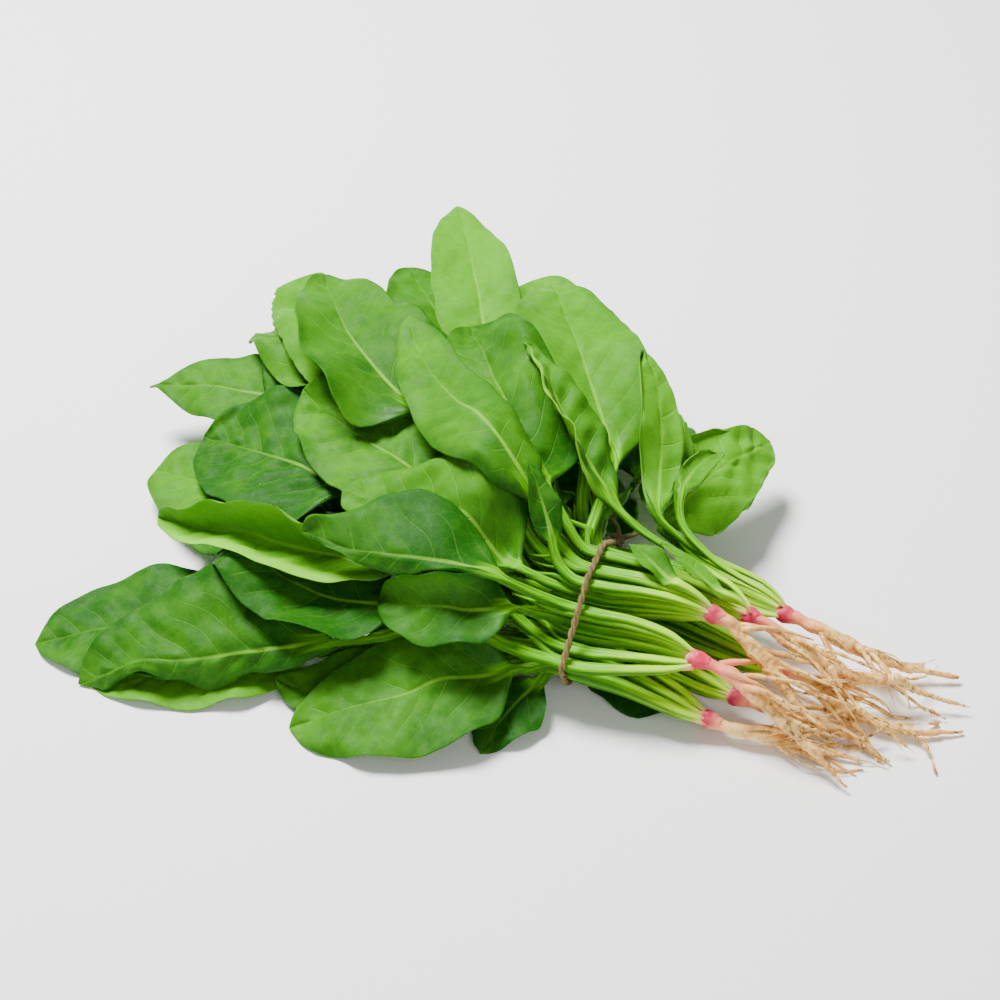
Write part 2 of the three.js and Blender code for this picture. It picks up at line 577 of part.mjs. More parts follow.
// A leaf: stalk rings at the given stops, then the blade. stops: { at, width, height, free }.
function leafBody(leaf, stops, seed) {
  const body = new Body();
  const random = seededRandom(seed);
  const phases = [random(), random()];
  const waves = FEWEST_WAVES + random();
  const wave = (along, hand) => Math.sin(2 * Math.PI * (waves * along + phases[hand > 0 ? 0 : 1]));

  let previous = null;
  stops.forEach((stop, i) => {
    const before = stops[Math.max(0, i - 1)].at;
    const after = i + 1 < stops.length ? stops[i + 1].at : bladePoint(leaf, 0);
    const tangent = after.clone().sub(before).normalize();
    const ring = stalkRing(body, stop, tangent);
    if (previous) {
      joinStalk(body, previous, ring);
    } else {
      const end = body.addPoint(stop.at.clone(), ring.lift);
      ring.ring.forEach((point, k) => body.triangles.push([end, point, ring.ring[(k + 1) % 6]]));
    }
    previous = ring;
  });

  const stations = leaf.hidden ? HIDDEN_STATIONS : BLADE_STATIONS;
  const lastFree = stops[stops.length - 1].free;
  let blade = null;
  stations.forEach((along, i) => {
    const free = Math.min(1, lastFree + BLADE_FREER + BLADE_FREEING * along);
    const ring = addBladeRing(body, bladeColumns(leaf, along, wave), i === 0, free);
    if (blade) joinBlade(body, blade, ring);
    else joinFoot(body, previous, ring);
    blade = ring;
  });

  const tipPoint = bladePoint(leaf, 1);
  const tipLift = body.addLift(tipPoint, 1);
  const tip = body.addPoint(tipPoint, tipLift);
  blade.ring.forEach((point, k) => body.triangles.push([point, tip, blade.ring[(k + 1) % 12]]));
  blade.lifts.forEach((lift) => body.link(lift, tipLift));
  return body;
}

// ---------------------------------------------------------------- where the stalks pass the tie

const FIRST_ROW = TIE_THICKNESS + TIE_GAP + STALK_HALF_HEIGHT;

// Direction in which a leaf fans out, from the tie to its blade.
function heading(leaf) {
  const towards = 0.4;
  const blade = vec(leaf.base).lerp(vec(leaf.tip), towards);
  return Math.atan2(blade.y, -blade.x);
}

// Rows are filled from the lowest leaf up. In a row the stalks lie in the order of their leaves' fan.
function giveSlots(leaves) {
  let first = 0;
  ROW_COUNTS.forEach((count, row) => {
    const members = leaves.slice(first, first + count).sort((a, b) => heading(a) - heading(b));
    members.forEach((leaf, i) => {
      const middle = LOWEST_ROW_SHIFT + row * ROW_LEAN;
      leaf.slot = { y: middle + (i - (count - 1) / 2) * STALK_PITCH, z: FIRST_ROW + row * ROW_PITCH };
    });
    first += count;
  });
}

function givePlants(leaves) {
  for (const leaf of leaves) {
    const distance = (plant) => Math.hypot(plant.held[0] - leaf.slot.y, plant.held[1] - leaf.slot.z);
    leaf.owner = PLANTS.reduce((best, plant) => (distance(plant) < distance(best) ? plant : best));
  }
  for (const plant of PLANTS) {
    const own = leaves.filter((leaf) => leaf.owner === plant);
    const mean = (key) => own.reduce((sum, leaf) => sum + leaf.slot[key], 0) / own.length;
    plant.middle = { y: mean('y'), z: mean('z') };
  }
}

// From the tie to the crown a plant's stalks keep their pattern and draw together.
function stalkBesideTie(leaf, share) {
  const { crown, middle } = leaf.owner;
  const turned = (share + ease(share)) / 2;
  const spread = 1 - (1 - CROWN_SCALE) * share ** CROWN_CLOSING;
  const arch = STALK_ARCH * Math.sin(Math.PI * share);
  return {
    at: new THREE.Vector3(
      THREE.MathUtils.lerp(TIE_HALF_ZONE, crown[0] - CROWN_GAP, share),
      THREE.MathUtils.lerp(middle.y, crown[1], turned) + (leaf.slot.y - middle.y) * spread,
      THREE.MathUtils.lerp(middle.z, crown[2], turned) + (leaf.slot.z - middle.z) * spread + arch,
    ),
    width: THREE.MathUtils.lerp(STALK_WIDTH, STALK_WIDTH_CROWN, share),
    height: THREE.MathUtils.lerp(STALK_HEIGHT, STALK_HEIGHT_CROWN, share),
    free: 0,
  };
}

// Beyond the tie a stalk leaves along -X and turns to run straight into its blade.
function stalkToBlade(leaf, share) {
  const start = new THREE.Vector3(-TIE_HALF_ZONE, leaf.slot.y, leaf.slot.z);
  const end = vec(leaf.base);
  const reach = start.distanceTo(end);
  const turn = heading(leaf) * LEAVING_TURN;
  const climb = LEAVING_CLIMB * (leaf.slot.z / TIE_MIDDLE - 1);
  const leave = new THREE.Vector3(-Math.cos(turn), Math.sin(turn), climb).multiplyScalar(reach);
  const arrive = bladeTangent(leaf, 0).multiplyScalar(reach * ARRIVING_PULL);
  const s2 = share * share;
  const s3 = s2 * share;
  const at = start.multiplyScalar(2 * s3 - 3 * s2 + 1).addScaledVector(leave, s3 - 2 * s2 + share);
  at.addScaledVector(end, -2 * s3 + 3 * s2).addScaledVector(arrive, s3 - s2);
  const free = ease(clamp01((share * reach - LIFT_STARTS) / LIFT_RAMP));
  return { at, width: STALK_WIDTH, height: STALK_HEIGHT * (1 - STALK_THINNING * share), free };
}

// Cross-sections of a tied leaf's stalk, from its crown to its blade.
function tiedStops(leaf) {
  const stops = CROWN_STATIONS.map((share) => stalkBesideTie(leaf, share));
  stops.push(stalkBesideTie(leaf, 0), stalkToBlade(leaf, 0));
  const reach = Math.hypot(leaf.base[0] + TIE_HALF_ZONE, leaf.base[1] - leaf.slot.y);
  const rings = THREE.MathUtils.clamp(Math.round(reach / STALK_SPAN), 1, 3);
  for (let i = 1; i <= rings; i += 1) stops.push(stalkToBlade(leaf, i / (rings + 1)));
  return stops;
}

// The same for a leaf that stays outside the tie.
function looseStops(leaf) {
  const plant = leaf.owner;
  const [y, z] = leaf.aside;
  const start = vec(plant.crown).add(new THREE.Vector3(-CROWN_GAP, y, z));
  const points = [start, ...leaf.via.map(vec)];
  return points.map((at, i) => {
    const grown = i / points.length;
    return {
      at,
      width: THREE.MathUtils.lerp(STALK_WIDTH_CROWN, LOOSE_WIDTH, grown),
      height: THREE.MathUtils.lerp(STALK_HEIGHT_CROWN, LOOSE_HEIGHT, grown),
      free: ease(clamp01(grown)) * LOOSE_FREE,
    };
  });
}

// ---------------------------------------------------------------- root

function rootRadius(share) {
  const narrowed = ease(clamp01(share / SHOULDER_SHARE));
  const neck = THREE.MathUtils.lerp(ROOT_TOP_RADIUS, ROOT_NECK_RADIUS, narrowed);
  const belowShoulder = clamp01((share - SHOULDER_SHARE) / (1 - SHOULDER_SHARE));
  return THREE.MathUtils.lerp(neck, ROOT_TIP_RADIUS, belowShoulder ** ROOT_FULLNESS);
}

// A round tube with flat ends along a curve. Its first ring may hang on a lift that is already there.
function tube(body, curve, sides, rings, radiusAt, freeAt, anchor) {
  const lifts = [];
  let previous = null;
  for (let i = 0; i <= rings; i += 1) {
    const share = i / rings;
    const centre = curve.getPointAt(share);
    const { side, up } = frameOf(curve.getTangentAt(share));
    const lift = i === 0 && anchor !== undefined ? anchor : body.addLift(centre, freeAt(share));
    const radius = radiusAt(share);
    const ring = [];
    for (let k = 0; k < sides; k += 1) {
      const angle = (k + 0.5) * 2 * Math.PI / sides;
      const point = centre.clone().addScaledVector(side, Math.cos(angle) * radius);
      ring.push(body.addPoint(point.addScaledVector(up, Math.sin(angle) * radius), lift));
    }
    for (let k = 0; k < sides; k += 1) {
      const n = (k + 1) % sides;
      if (previous) {
        body.triangles.push([previous[k], ring[k], ring[n]], [previous[k], ring[n], previous[n]]);
      }
    }
    if (previous) body.link(lifts[lifts.length - 1], lift);
    if (i === 0 || i === rings) {
      const cap = body.addPoint(centre.clone(), lift);
      ring.forEach((point, k) => {
        const n = ring[(k + 1) % sides];
        body.triangles.push(i === 0 ? [cap, point, n] : [cap, n, point]);
      });
    }
    lifts.push(lift);
    previous = ring;
  }
  return lifts;
}

// A root starts in line with its plant's stalks, so that its flat top faces their ends.
function rootCurve(plant) {
  const stalk = { owner: plant, slot: plant.middle };
  const nearEnd = 0.95;
  const line = stalkBesideTie(stalk, 1).at.sub(stalkBesideTie(stalk, nearEnd).at).normalize();
  const crown = vec(plant.crown);
  const neck = crown.clone().addScaledVector(line, NECK_LENGTH);
  return new THREE.CatmullRomCurve3([crown, neck, ...plant.route.map(vec)], false, 'centripetal');
}

function rootletCurve(curve, [share, turn, length], sideways) {
  const start = curve.getPointAt(share);
  const along = curve.getTangentAt(share).applyAxisAngle(new THREE.Vector3(0, 0, 1), radians(turn));
  along.setZ(along.z / 2).normalize();
  const sway = new THREE.Vector3(-along.y, along.x, 0).multiplyScalar(sideways * length * ROOTLET_SWAY);
  const middle = start.clone().addScaledVector(along, length / 2).add(sway);
  const end = start.clone().addScaledVector(along, length).addScaledVector(sway, -ROOTLET_RETURN);
  end.z = Math.max(ROOTLET_TIP_HEIGHT, end.z - length * ROOTLET_DROOP);
  return new THREE.CatmullRomCurve3([start, middle, end]);
}

// A root and its rootlets share their lifts, so that they stay together when they are laid down.
function rootBody(plant, seed) {
  const body = new Body();
  const curve = rootCurve(plant);
  const freeAt = (share) => clamp01((share - SHOULDER_SHARE / 2) * ROOT_FREEING);
  const lifts = tube(body, curve, ROOT_SIDES, ROOT_RINGS, rootRadius, freeAt);
  const random = seededRandom(seed);
  for (const rootlet of plant.rootlets) {
    const [share, , , radius] = rootlet;
    const route = rootletCurve(curve, rootlet, random() - 0.5);
    const radiusAt = (along) => THREE.MathUtils.lerp(radius, ROOTLET_TIP_RADIUS, along);
    const anchor = lifts[Math.round(share * ROOT_RINGS)];
    tube(body, route, ROOTLET_SIDES, ROOTLET_RINGS, radiusAt, () => 1, anchor);
  }
  return body;
}

// ---------------------------------------------------------------- joining closed bodies

function toSolid(geometry) {
  geometry.deleteAttribute('normal');
  geometry.deleteAttribute('uv');
  const merged = mergeVertices(geometry);
  const vertProperties = new Float32Array(merged.attributes.position.array);
  const triVerts = new Uint32Array(merged.index.array);
  return new wasm.Manifold(new wasm.Mesh({ numProp: 3, vertProperties, triVerts }));
}

function fromSolid(solid) {
  const mesh = solid.getMesh();
  const geometry = new THREE.BufferGeometry();
  geometry.setAttribute('position', new THREE.BufferAttribute(new Float32Array(mesh.vertProperties), 3));
  geometry.setIndex(new THREE.BufferAttribute(new Uint32Array(mesh.triVerts), 1));
  return geometry;
}

// Splits a body's triangles into its closed pieces and joins them to one solid.
function joinPieces(body) {
  const owner = body.points.map((_, i) => i);
  const find = (i) => (owner[i] === i ? i : (owner[i] = find(owner[i])));
  body.triangles.forEach(([a, b, c]) => {
    owner[find(a)] = find(b);
    owner[find(b)] = find(c);
  });
  const pieces = new Map();
  body.triangles.forEach((triangle) => {
    const key = find(triangle[0]);
    if (!pieces.has(key)) pieces.set(key, []);
    pieces.get(key).push(triangle);
  });
  const solids = [...pieces.values()].map((triangles) => {
    const piece = new Body();
    piece.points = body.points;
    piece.triangles = triangles;
    return toSolid(piece.geometry());
  });
  return fromSolid(solids.reduce((sum, solid) => sum.add(solid)));
}

// ---------------------------------------------------------------- tie

function convexHull(points) {
  const sorted = [...points].sort((a, b) => a.y - b.y || a.z - b.z);
  const turn = (o, a, b) => (a.y - o.y) * (b.z - o.z) - (a.z - o.z) * (b.y - o.y);
  const half = (list) => {
    const chain = [];
    for (const point of list) {
      while (chain.length > 1 && turn(chain.at(-2), chain.at(-1), point) <= 0) chain.pop();
      chain.push(point);
    }
    return chain.slice(0, -1);
  };
  return [...half(sorted), ...half(sorted.reverse())];
}

// The loop's centre line: the outline of the held stalks, moved outwards by the gap and half a cord.
function tieRoute(leaves) {
  const reach = TIE_GAP + TIE_THICKNESS / 2;
  const points = [];
  for (const { slot } of leaves) {
    for (let k = 0; k < 12; k += 1) {
      const angle = k * Math.PI / 6;
      points.push({
        y: slot.y + Math.cos(angle) * (STALK_WIDTH / 2 + reach),
        z: slot.z + Math.sin(angle) * (STALK_HALF_HEIGHT + reach),
      });
    }
  }
  return convexHull(points);
}

function unit(y, z) {
  const size = Math.hypot(y, z);
  return [y / size, z / size];
}

// The cord's section has eight sides with a flat one below, on which the bunch rests.
function tieLoop(leaves) {
  const hull = tieRoute(leaves);
  const count = hull.length;
  const body = new Body();
  const radius = TIE_THICKNESS / 2 / Math.cos(Math.PI / 8);
  const rings = hull.map((point, i) => {
    const before = hull[(i + count - 1) % count];
    const after = hull[(i + 1) % count];
    const [inY, inZ] = unit(point.y - before.y, point.z - before.z);
    const [outY, outZ] = unit(after.y - point.y, after.z - point.z);
    const [alongY, alongZ] = unit(inY + outY, inZ + outZ);
    const stretch = 1 / (alongY * inY + alongZ * inZ);
    const ring = [];
    for (let k = 0; k < 8; k += 1) {
      const angle = (k + 0.5) * Math.PI / 4;
      const outwards = Math.cos(angle) * radius;
      const x = Math.sin(angle) * radius;
      const y = point.y + alongZ * outwards * stretch;
      const z = point.z - alongY * outwards * stretch;
      ring.push(body.addPoint(new THREE.Vector3(x, y, z), 0));
    }
    return ring;
  });
  rings.forEach((ring, i) => {
    const next = rings[(i + 1) % count];
    for (let k = 0; k < 8; k += 1) {
      const n = (k + 1) % 8;
      body.triangles.push([ring[k], next[k], next[n]], [ring[k], next[n], ring[n]]);
    }
  });
  return { body, hull };
}

function knotEnd(from, [x, y, z]) {
  const body = new Body();
  const line = new THREE.LineCurve3(from, from.clone().add(new THREE.Vector3(x, y, z)));
  tube(body, line, 6, 1, () => KNOT_END_RADIUS, () => 0);
  return toSolid(body.geometry());
}

// Knot on the upper back of the loop: a small lump of cord with two cut ends.
function strawTie(leaves) {
  const { body, hull } = tieLoop(leaves);
  const towardsKnot = ({ y, z }) => y + z;
  const at = hull.reduce((best, point) => (towardsKnot(point) > towardsKnot(best) ? point : best));
  const middle = new THREE.Vector3(0, at.y + KNOT_OFFSET, at.z + KNOT_OFFSET);
  const lump = new THREE.IcosahedronGeometry(TIE_THICKNESS, 1);
  lump.scale(...KNOT_SHAPE);
  lump.translate(middle.x, middle.y, middle.z);
  const parts = [lump].map(toSolid).concat(KNOT_ENDS.map((end) => knotEnd(middle, end)));
  return fromSolid(parts.reduce((sum, part) => sum.add(part), toSolid(body.geometry())));
}

// ---------------------------------------------------------------- the bunch

// A mesh in a group that stands at the given offset.
function named(geometry, name, { colour, roughness }, offset = [0, 0, 0]) {
  geometry.translate(-offset[0], -offset[1], -offset[2]);
  geometry.computeVertexNormals();
  const material = new THREE.MeshStandardMaterial({ color: colour, roughness, metalness: 0 });
  const mesh = new THREE.Mesh(geometry, material);
  mesh.name = name;
  return mesh;
}

function buildBunch() {
  const bunch = new THREE.Group();
  const groups = new Map(PLANTS.map((plant) => {
    const group = new THREE.Group();
    group.position.set(...plant.crown);
    bunch.add(group);
    return [plant.name, group];
  }));
  giveSlots(TIED_LEAVES);
  givePlants(TIED_LEAVES);
  LOOSE_LEAVES.forEach((leaf) => { leaf.owner = PLANTS.find((plant) => plant.name === leaf.plant); });

  const fan = new HeightMap();
  const stalks = new HeightMap();
  const beyondTie = (point) => point.x < -TIE_HALF_ZONE;
  const lay = (leaf, number, stops, map) => {
    const body = leafBody(leaf, stops, FIRST_LEAF_SEED + number);
    body.settle(map, LEAF_CLEARANCE);
    const name = `leaf_${String(number).padStart(2, '0')}`;
    const look = { colour: leaf.tone, roughness: LEAF_ROUGHNESS };
    groups.get(leaf.owner.name).add(named(body.geometry(), name, look, leaf.owner.crown));
    return body;
  };

  TIED_LEAVES.forEach((leaf, i) => {
    const body = lay(leaf, i + 1, tiedStops(leaf), fan);
    fan.add(body, beyondTie);
    leaf.body = body;
  });
  LOOSE_LEAVES.forEach((leaf, i) => {
    if (!leaf.over) fan.add(lay(leaf, TIED_LEAVES.length + i + 1, looseStops(leaf), fan));
  });

  PLANTS.forEach((plant, i) => {
    const root = rootBody(plant, FIRST_ROOT_SEED + i);
    root.settle(stalks, ROOT_CLEARANCE);
    stalks.add(root);
    TIED_LEAVES.filter((leaf) => leaf.owner === plant).forEach((leaf) => {
      stalks.add(leaf.body, (point) => point.x > TIE_HALF_ZONE);
    });
    groups.get(plant.name).add(named(joinPieces(root), `root_${plant.name}`, ROOT, plant.crown));
  });
  LOOSE_LEAVES.forEach((leaf, i) => {
    if (leaf.over) stalks.add(lay(leaf, TIED_LEAVES.length + i + 1, looseStops(leaf), stalks));
  });

  bunch.add(named(strawTie(TIED_LEAVES), 'straw_tie', STRAW));
  return bunch;
}

const group = buildBunch();
export default group;
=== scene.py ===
"""Looks of a tied bunch of spinach: fine leaves, stalks, crowns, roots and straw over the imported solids."""
import math

import bmesh
import bpy
import numpy as np
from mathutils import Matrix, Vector


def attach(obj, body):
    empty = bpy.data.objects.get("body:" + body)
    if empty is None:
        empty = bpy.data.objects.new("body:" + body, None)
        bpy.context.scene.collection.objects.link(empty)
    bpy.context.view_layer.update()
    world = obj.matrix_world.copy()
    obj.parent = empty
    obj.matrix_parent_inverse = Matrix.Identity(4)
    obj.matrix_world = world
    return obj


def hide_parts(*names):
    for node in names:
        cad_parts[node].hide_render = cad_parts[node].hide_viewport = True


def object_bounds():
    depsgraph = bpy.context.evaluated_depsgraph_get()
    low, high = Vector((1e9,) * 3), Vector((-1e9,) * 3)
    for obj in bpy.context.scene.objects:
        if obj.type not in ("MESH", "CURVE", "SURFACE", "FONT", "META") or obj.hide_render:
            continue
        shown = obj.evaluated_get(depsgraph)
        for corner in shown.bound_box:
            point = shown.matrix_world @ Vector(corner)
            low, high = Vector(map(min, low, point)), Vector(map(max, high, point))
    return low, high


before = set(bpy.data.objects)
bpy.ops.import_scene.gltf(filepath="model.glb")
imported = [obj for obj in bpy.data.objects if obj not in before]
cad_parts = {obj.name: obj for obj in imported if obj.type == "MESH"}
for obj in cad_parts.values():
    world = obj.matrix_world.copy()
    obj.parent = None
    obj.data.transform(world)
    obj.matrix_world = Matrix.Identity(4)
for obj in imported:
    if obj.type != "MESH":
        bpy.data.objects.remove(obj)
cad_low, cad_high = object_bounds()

MM = 0.001
UP = np.array([0.0, 0.0, 1.0])
ALONG_STALKS = np.array([1.0, 0.0, 0.0])
ACROSS_STALKS = 1 - ALONG_STALKS  # keeps what lies in the plane of the tie
MERGE = 2e-5                      # vertices closer than this are one

# ---- the camera, the floor and the lights

CAMERA_AZIMUTH = 20.0             # degrees round the bunch, from its front
CAMERA_ELEVATION = 45.0
CAMERA_LENS = 85.0
CAMERA_DISTANCE = 0.986
CAMERA_AIM = (-0.0540, 0.0373, 0.0280)
FLOOR_HALF = 4.0
WORLD_STRENGTH = 0.32
LIGHTS = {                        # place, aim, diameter and watts
    "key": ((-0.6, 0.3, 1.25), (-0.05, 0.03, 0), 0.55, 60),
    "fill": ((0.7, -0.9, 0.9), (0, 0, 0), 1.0, 6),
}

# ---- leaves

COLUMNS = np.array([1, 0.7, 0.36, 0, -0.36, -0.7, -1])   # across a solid leaf, right rim to left rim
STALK_SIDES = 6                   # points in a solid leaf's ring, on its stalk and on its blade
BLADE_SIDES = 12
FEWEST_SHOWN_ROWS = 8             # a solid blade with fewer rows is hidden, and its fine one coarser
MOST_LOOSE_ROWS = 6               # a stalk with more rows than this runs through the tie
TIE_ROW = 4                       # the row of a stalk that gives its width in the tie
HALF_ACROSS = [0.03, 0.07, 0.12, 0.19, 0.27, 0.35, 0.44, 0.53, 0.62, 0.71, 0.79, 0.87, 0.93, 0.975, 1]
TIP_POWER = 1.6                   # how much closer the rows of points lie at the round tip
ROW_STEP = 1.5 * MM               # between two rows of points along a blade
STALK_STEP = 3.0 * MM
LEAST_BLADE_ROWS, LEAST_STALK_ROWS = 16, 6
LAST_ROW = 0.985                  # place of a blade's last row, 0 at its foot and 1 at its tip
BLADE_HALF = 0.28 * MM            # half a blade's thickness
FOOT_SHARE = 0.16                 # share of the blade over which stalk turns to blade
STALK_FULLNESS = (0.72, 0.94)     # grown stalks to the solid ones
SHEATH_FULLNESS = 0.26            # how much fuller a stalk is above its crown
SHEATH_LENGTH = 13 * MM
DRAWN_LENGTH = 13 * MM            # from the crown, where its end starts to be drawn in
DRAWN_SHARE = 0.86
GROOVE_DEPTH = 0.25               # along the top of a stalk, as a share of its half thickness
GROOVE_FULL = 30 * MM             # how far from the crown it is full
FIRST_LEAF_SEED = 1000

RIB_HEIGHT = 1.5 * MM             # midrib under the blade
RIB_WIDTHS = (1.75 * MM, 0.7 * MM)  # at the foot and at the tip
RIB_FURROW = 0.35 * MM            # over the midrib
VEIN_SPACING = 11.5 * MM
VEIN_SWEEP = 0.75                 # how far a side vein runs forward for each step outwards
VEIN_CURVE = 0.012 / MM
VEIN_BEND = (0.16, 32 * MM)       # in spacings, and the length of its waves
DEEPEST_RELIEF = 1.5 * MM
PRESSED_RELIEF = 0.1 * MM         # highest relief of a leaf that another one lies on
PUCKER_HEIGHT = 0.8 * MM          # from a side vein to the middle between two
DIMPLES = (0.5 * MM, 13 * MM)     # height and length of these waves
SWAY = (0.8 * MM, 34 * MM)
RIM_WAVES = (0.75 * MM, 19 * MM)
RIM_WAVES_BESIDE = 8 * MM         # keeps the waves of the two rims apart
UNEVEN_RIM = (0.022, 20 * MM)     # height as a share of the blade's half width, and length
NIBBLES = (0.05, 3.5 * MM)
NIBBLES_FULL = 0.8                # share of the blade from its foot where they are full
UNEVEN_BESIDE = 40 * MM
CRINKLED, PLAIN = 2.0, 0.6        # how strong the relief of such leaves is
TIP_FADE = 0.12                   # share of the blade over which the relief fades at the tip

# How deep each leaf's green is, from about 0 for the palest to 1 for the darkest: partly each leaf's own
# green and partly painted shade, deeper for leaves that lie in shadow.
LEAF_TONES_AND_SHADE = {
    -0.4: {43, 49},
    0.0: {2, 28, 29, 32, 44, 45},
    0.2: {25},
    0.35: {37, 46},
    0.5: {5, 9, 24, 40, 48},
    0.6: {7, 13, 14, 17, 26, 34, 35, 47},
    0.7: {36, 39},
    0.8: {8, 15, 33, 41},
    0.95: {22, 23, 38},
    1.0: {1, 6, 12, 21, 31, 42},
}
OTHER_TONE = 0.8
TONE_SPREAD = 0.06
CRINKLED_LEAVES = {15, 22, 23, 28, 34, 43, 47}
PLAIN_LEAVES = {36, 40, 38, 29, 25}
NIBBLED_LEAVES = {25}
PRESSED_LEAVES = {7, 22}
ROLLED_RIMS = {32: -1, 47: -1}    # the side that is rolled over, 1 for the right and -1 for the left
ROLL_LIFT = 2.2 * MM
ROLL_FROM, ROLL_TO = 0.45, 0.9    # shares of the half width between which it starts and is full
ROLL_ENDS = 0.2                   # share of the blade over which it fades at foot and tip

# ---- young stalks between the larger ones

YOUNG_RADIUS = (0.9, 1.5)         # mm
YOUNG_SIDES = 10
YOUNG_BEYOND = 30 * MM            # how far they run beyond the tie
YOUNG_STEP = 2.2 * MM
WIDEST_GAP = 10 * MM              # between the two stalks that a young one lies between
YOUNG_PROUD = 1.5 * MM            # how far it stands out of the gap
YOUNG_DIVE = 7 * MM               # how far its end goes down among the larger ones
YOUNG_SWAY = (0.5 * MM, 40 * MM)  # height and length
YOUNG_SHARE = (0.4, 0.6)          # of the way from one of the two to the other
DIVE_START, TAPER_START = 0.66, 0.75  # as shares of its length

# ---- roots

FIRST_ROOT_SEED = 50
PINK = {                          # how far the pink runs down each root, mm, and how crimson it is
    "root_a": (7, 0.6), "root_b": (11, 0.5), "root_c": (10, 0.7), "root_d": (17, 0.15),
    "root_e": (8, 1.0), "root_f": (6, 0.8), "root_g": (9, 0.5),
}
TOP_POINTS, NEXT_POINTS = 9, 17   # of a solid root, counted from its end at the leaves
ROOT_VOXEL = 0.65 * MM
ROOT_SMOOTHING = 6
LUMPS = (0.35 * MM, 11 * MM)      # height and length of the waves in a root's skin
WRINKLES = (0.16 * MM, 2.4 * MM)
WRINKLED_FROM = 20 * MM           # how far below the crown the wrinkles are full
NECK_DRAWN = 1.25 * MM            # how much slimmer a root is just below its crown than the solid
NECK_LENGTH = 26 * MM
CLEARANCE = 0.1 * MM              # of a root over the table

KNOB_RADIUS = 3.7 * MM
KNOB_SIDES, KNOB_RINGS, KNOB_LOBES = 28, 22, 5
KNOB_PROFILE = [                  # along the root's axis, minus towards the leaves, and radius, mm
    (4.0, 2.5), (2.4, 2.9), (0.8, 3.4), (-0.8, 3.7), (-2.4, 3.5), (-4.0, 2.9), (-5.2, 1.8), (-6.0, 0.3),
]
LOBE_HEIGHT = 0.09                # as shares of the knob's radius
KNOB_LUMPS = (0.05, 3.5 * MM)

SIDE_ROOTS = [                    # count, nearest and farthest from the crown, lengths and radii, mm
    (6, 8, 36, (22, 38), (0.8, 1.5)),
    (12, 16, 60, (6, 14), (0.16, 0.34)),
]
SIDE_ROOT_STEPS, SIDE_ROOT_SIDES = 14, 8
SIDE_ROOT_OUT = 0.35              # how much it sets out from the skin, to 1 ahead
SIDE_ROOT_TURN = 0.4              # most to either side of its way ahead
SIDE_ROOT_RISE = 0.8 * MM
SIDE_ROOT_DROOP = 0.45            # share of its length
SIDE_ROOT_WAVES = (0.05, 16 * MM)
SIDE_ROOT_KNOTS = (0.16, 5 * MM)  # share of its radius, and length
ROOTS_MIDDLE = -8 * MM            # of all the roots, across
ROOTS_SPREAD = 40 * MM

# ---- straw

STRAW_SEED = 7
ROUTE_CORNERS = 24                # round each stalk
ROUNDING_REACH = 3                # points to each side over which the cord's way is rounded
STRAND_SIDES = 14
STRAND_RADIUS = 0.8 * MM
STRAND_OFFSET = 0.66 * MM         # of each of the two strands from the cord's middle
STRAND_PITCH = 9.5 * MM           # one whole turn of the twist
STRAND_ROUGHNESS = 0.05
CORD_SWAY = (0.35 * MM, 40 * MM)
STRAW_REACH = 1.1 * MM            # cord's middle to the stalks
KNOT_SCALE = 0.78 * MM
KNOT_RADIUS = 1.0 * MM
KNOT_LIFT = 1.2 * MM
TAILS = [(10, 3, 6), (-4, 3.5, 7)]  # ends of the cord, from the knot, mm
TAIL_RADIUS = 0.95 * MM
TAIL_STEPS = KNOT_SIDES = TAIL_SIDES = 12
KNOT_STEPS = 60
TAIL_BOW = 1.2 * MM               # how far a tail bends aside
TAIL_FIBRES = (9, 12, 6, (2.5, 5), (0.14, 0.3))  # count, steps, sides, lengths and radii, mm
LOOSE_FIBRES = (16, 8, 5, (3, 7), (0.08, 0.13))
SPLAY = 0.55                      # of a tail's fibres, to 1 along the tail


# ---- numbers

def ease(t):
    t = np.clip(t, 0, 1)
    return t * t * (3 - 2 * t)


def unit(vectors):
    return vectors / np.maximum(np.linalg.norm(vectors, axis=-1, keepdims=True), 1e-12)


def walked(points):
    """How far along a line each of its points lies."""
    return np.concatenate([[0], np.cumsum(np.linalg.norm(np.diff(points, axis=0), axis=1))])


def spline(knots, values, at):
    """Values at any place, by cubic pieces through the knots' values."""
    knots = np.asarray(knots, float)
    flat = np.asarray(values, float).reshape(len(knots), -1)
    gaps = np.diff(knots)
    rises = np.diff(flat, axis=0) / gaps[:, None]
    slopes = np.empty_like(flat)
    slopes[0] = rises[0]
    slopes[-1] = rises[-1]
    before, after = gaps[:-1, None], gaps[1:, None]
    slopes[1:-1] = (rises[:-1] * after + rises[1:] * before) / (before + after)
    i = np.clip(np.searchsorted(knots, at, side="right") - 1, 0, len(gaps) - 1)
    gap = gaps[i][:, None]
    t = ((at - knots[i]) / gaps[i])[:, None]
    result = ((2 * t**3 - 3 * t**2 + 1) * flat[i] + (t**3 - 2 * t**2 + t) * gap * slopes[i]
              + (3 * t**2 - 2 * t**3) * flat[i + 1] + (t**3 - t**2) * gap * slopes[i + 1])
    return result.reshape((len(at),) + np.asarray(values).shape[1:])


def ripples(rng, wavelength, count=7):
    """A smooth random surface between about -1 and 1, as a function of two lengths."""
    turns = rng.uniform(0, math.tau, count)
    phases = rng.uniform(0, math.tau, count)
    rates = math.tau / (wavelength * rng.uniform(0.7, 1.5, count))

    def height(a, b):
        total = 0
        for turn, phase, rate in zip(turns, phases, rates):
            total = total + np.sin(rate * (a * math.cos(turn) + b * math.sin(turn)) + phase)
        return total / math.sqrt(count)

    return height


def waves(rng, size, a, b):
    """Ripples of a given height and length at places a, b."""
    height, length = size
    return height * ripples(rng, length)(a, b)


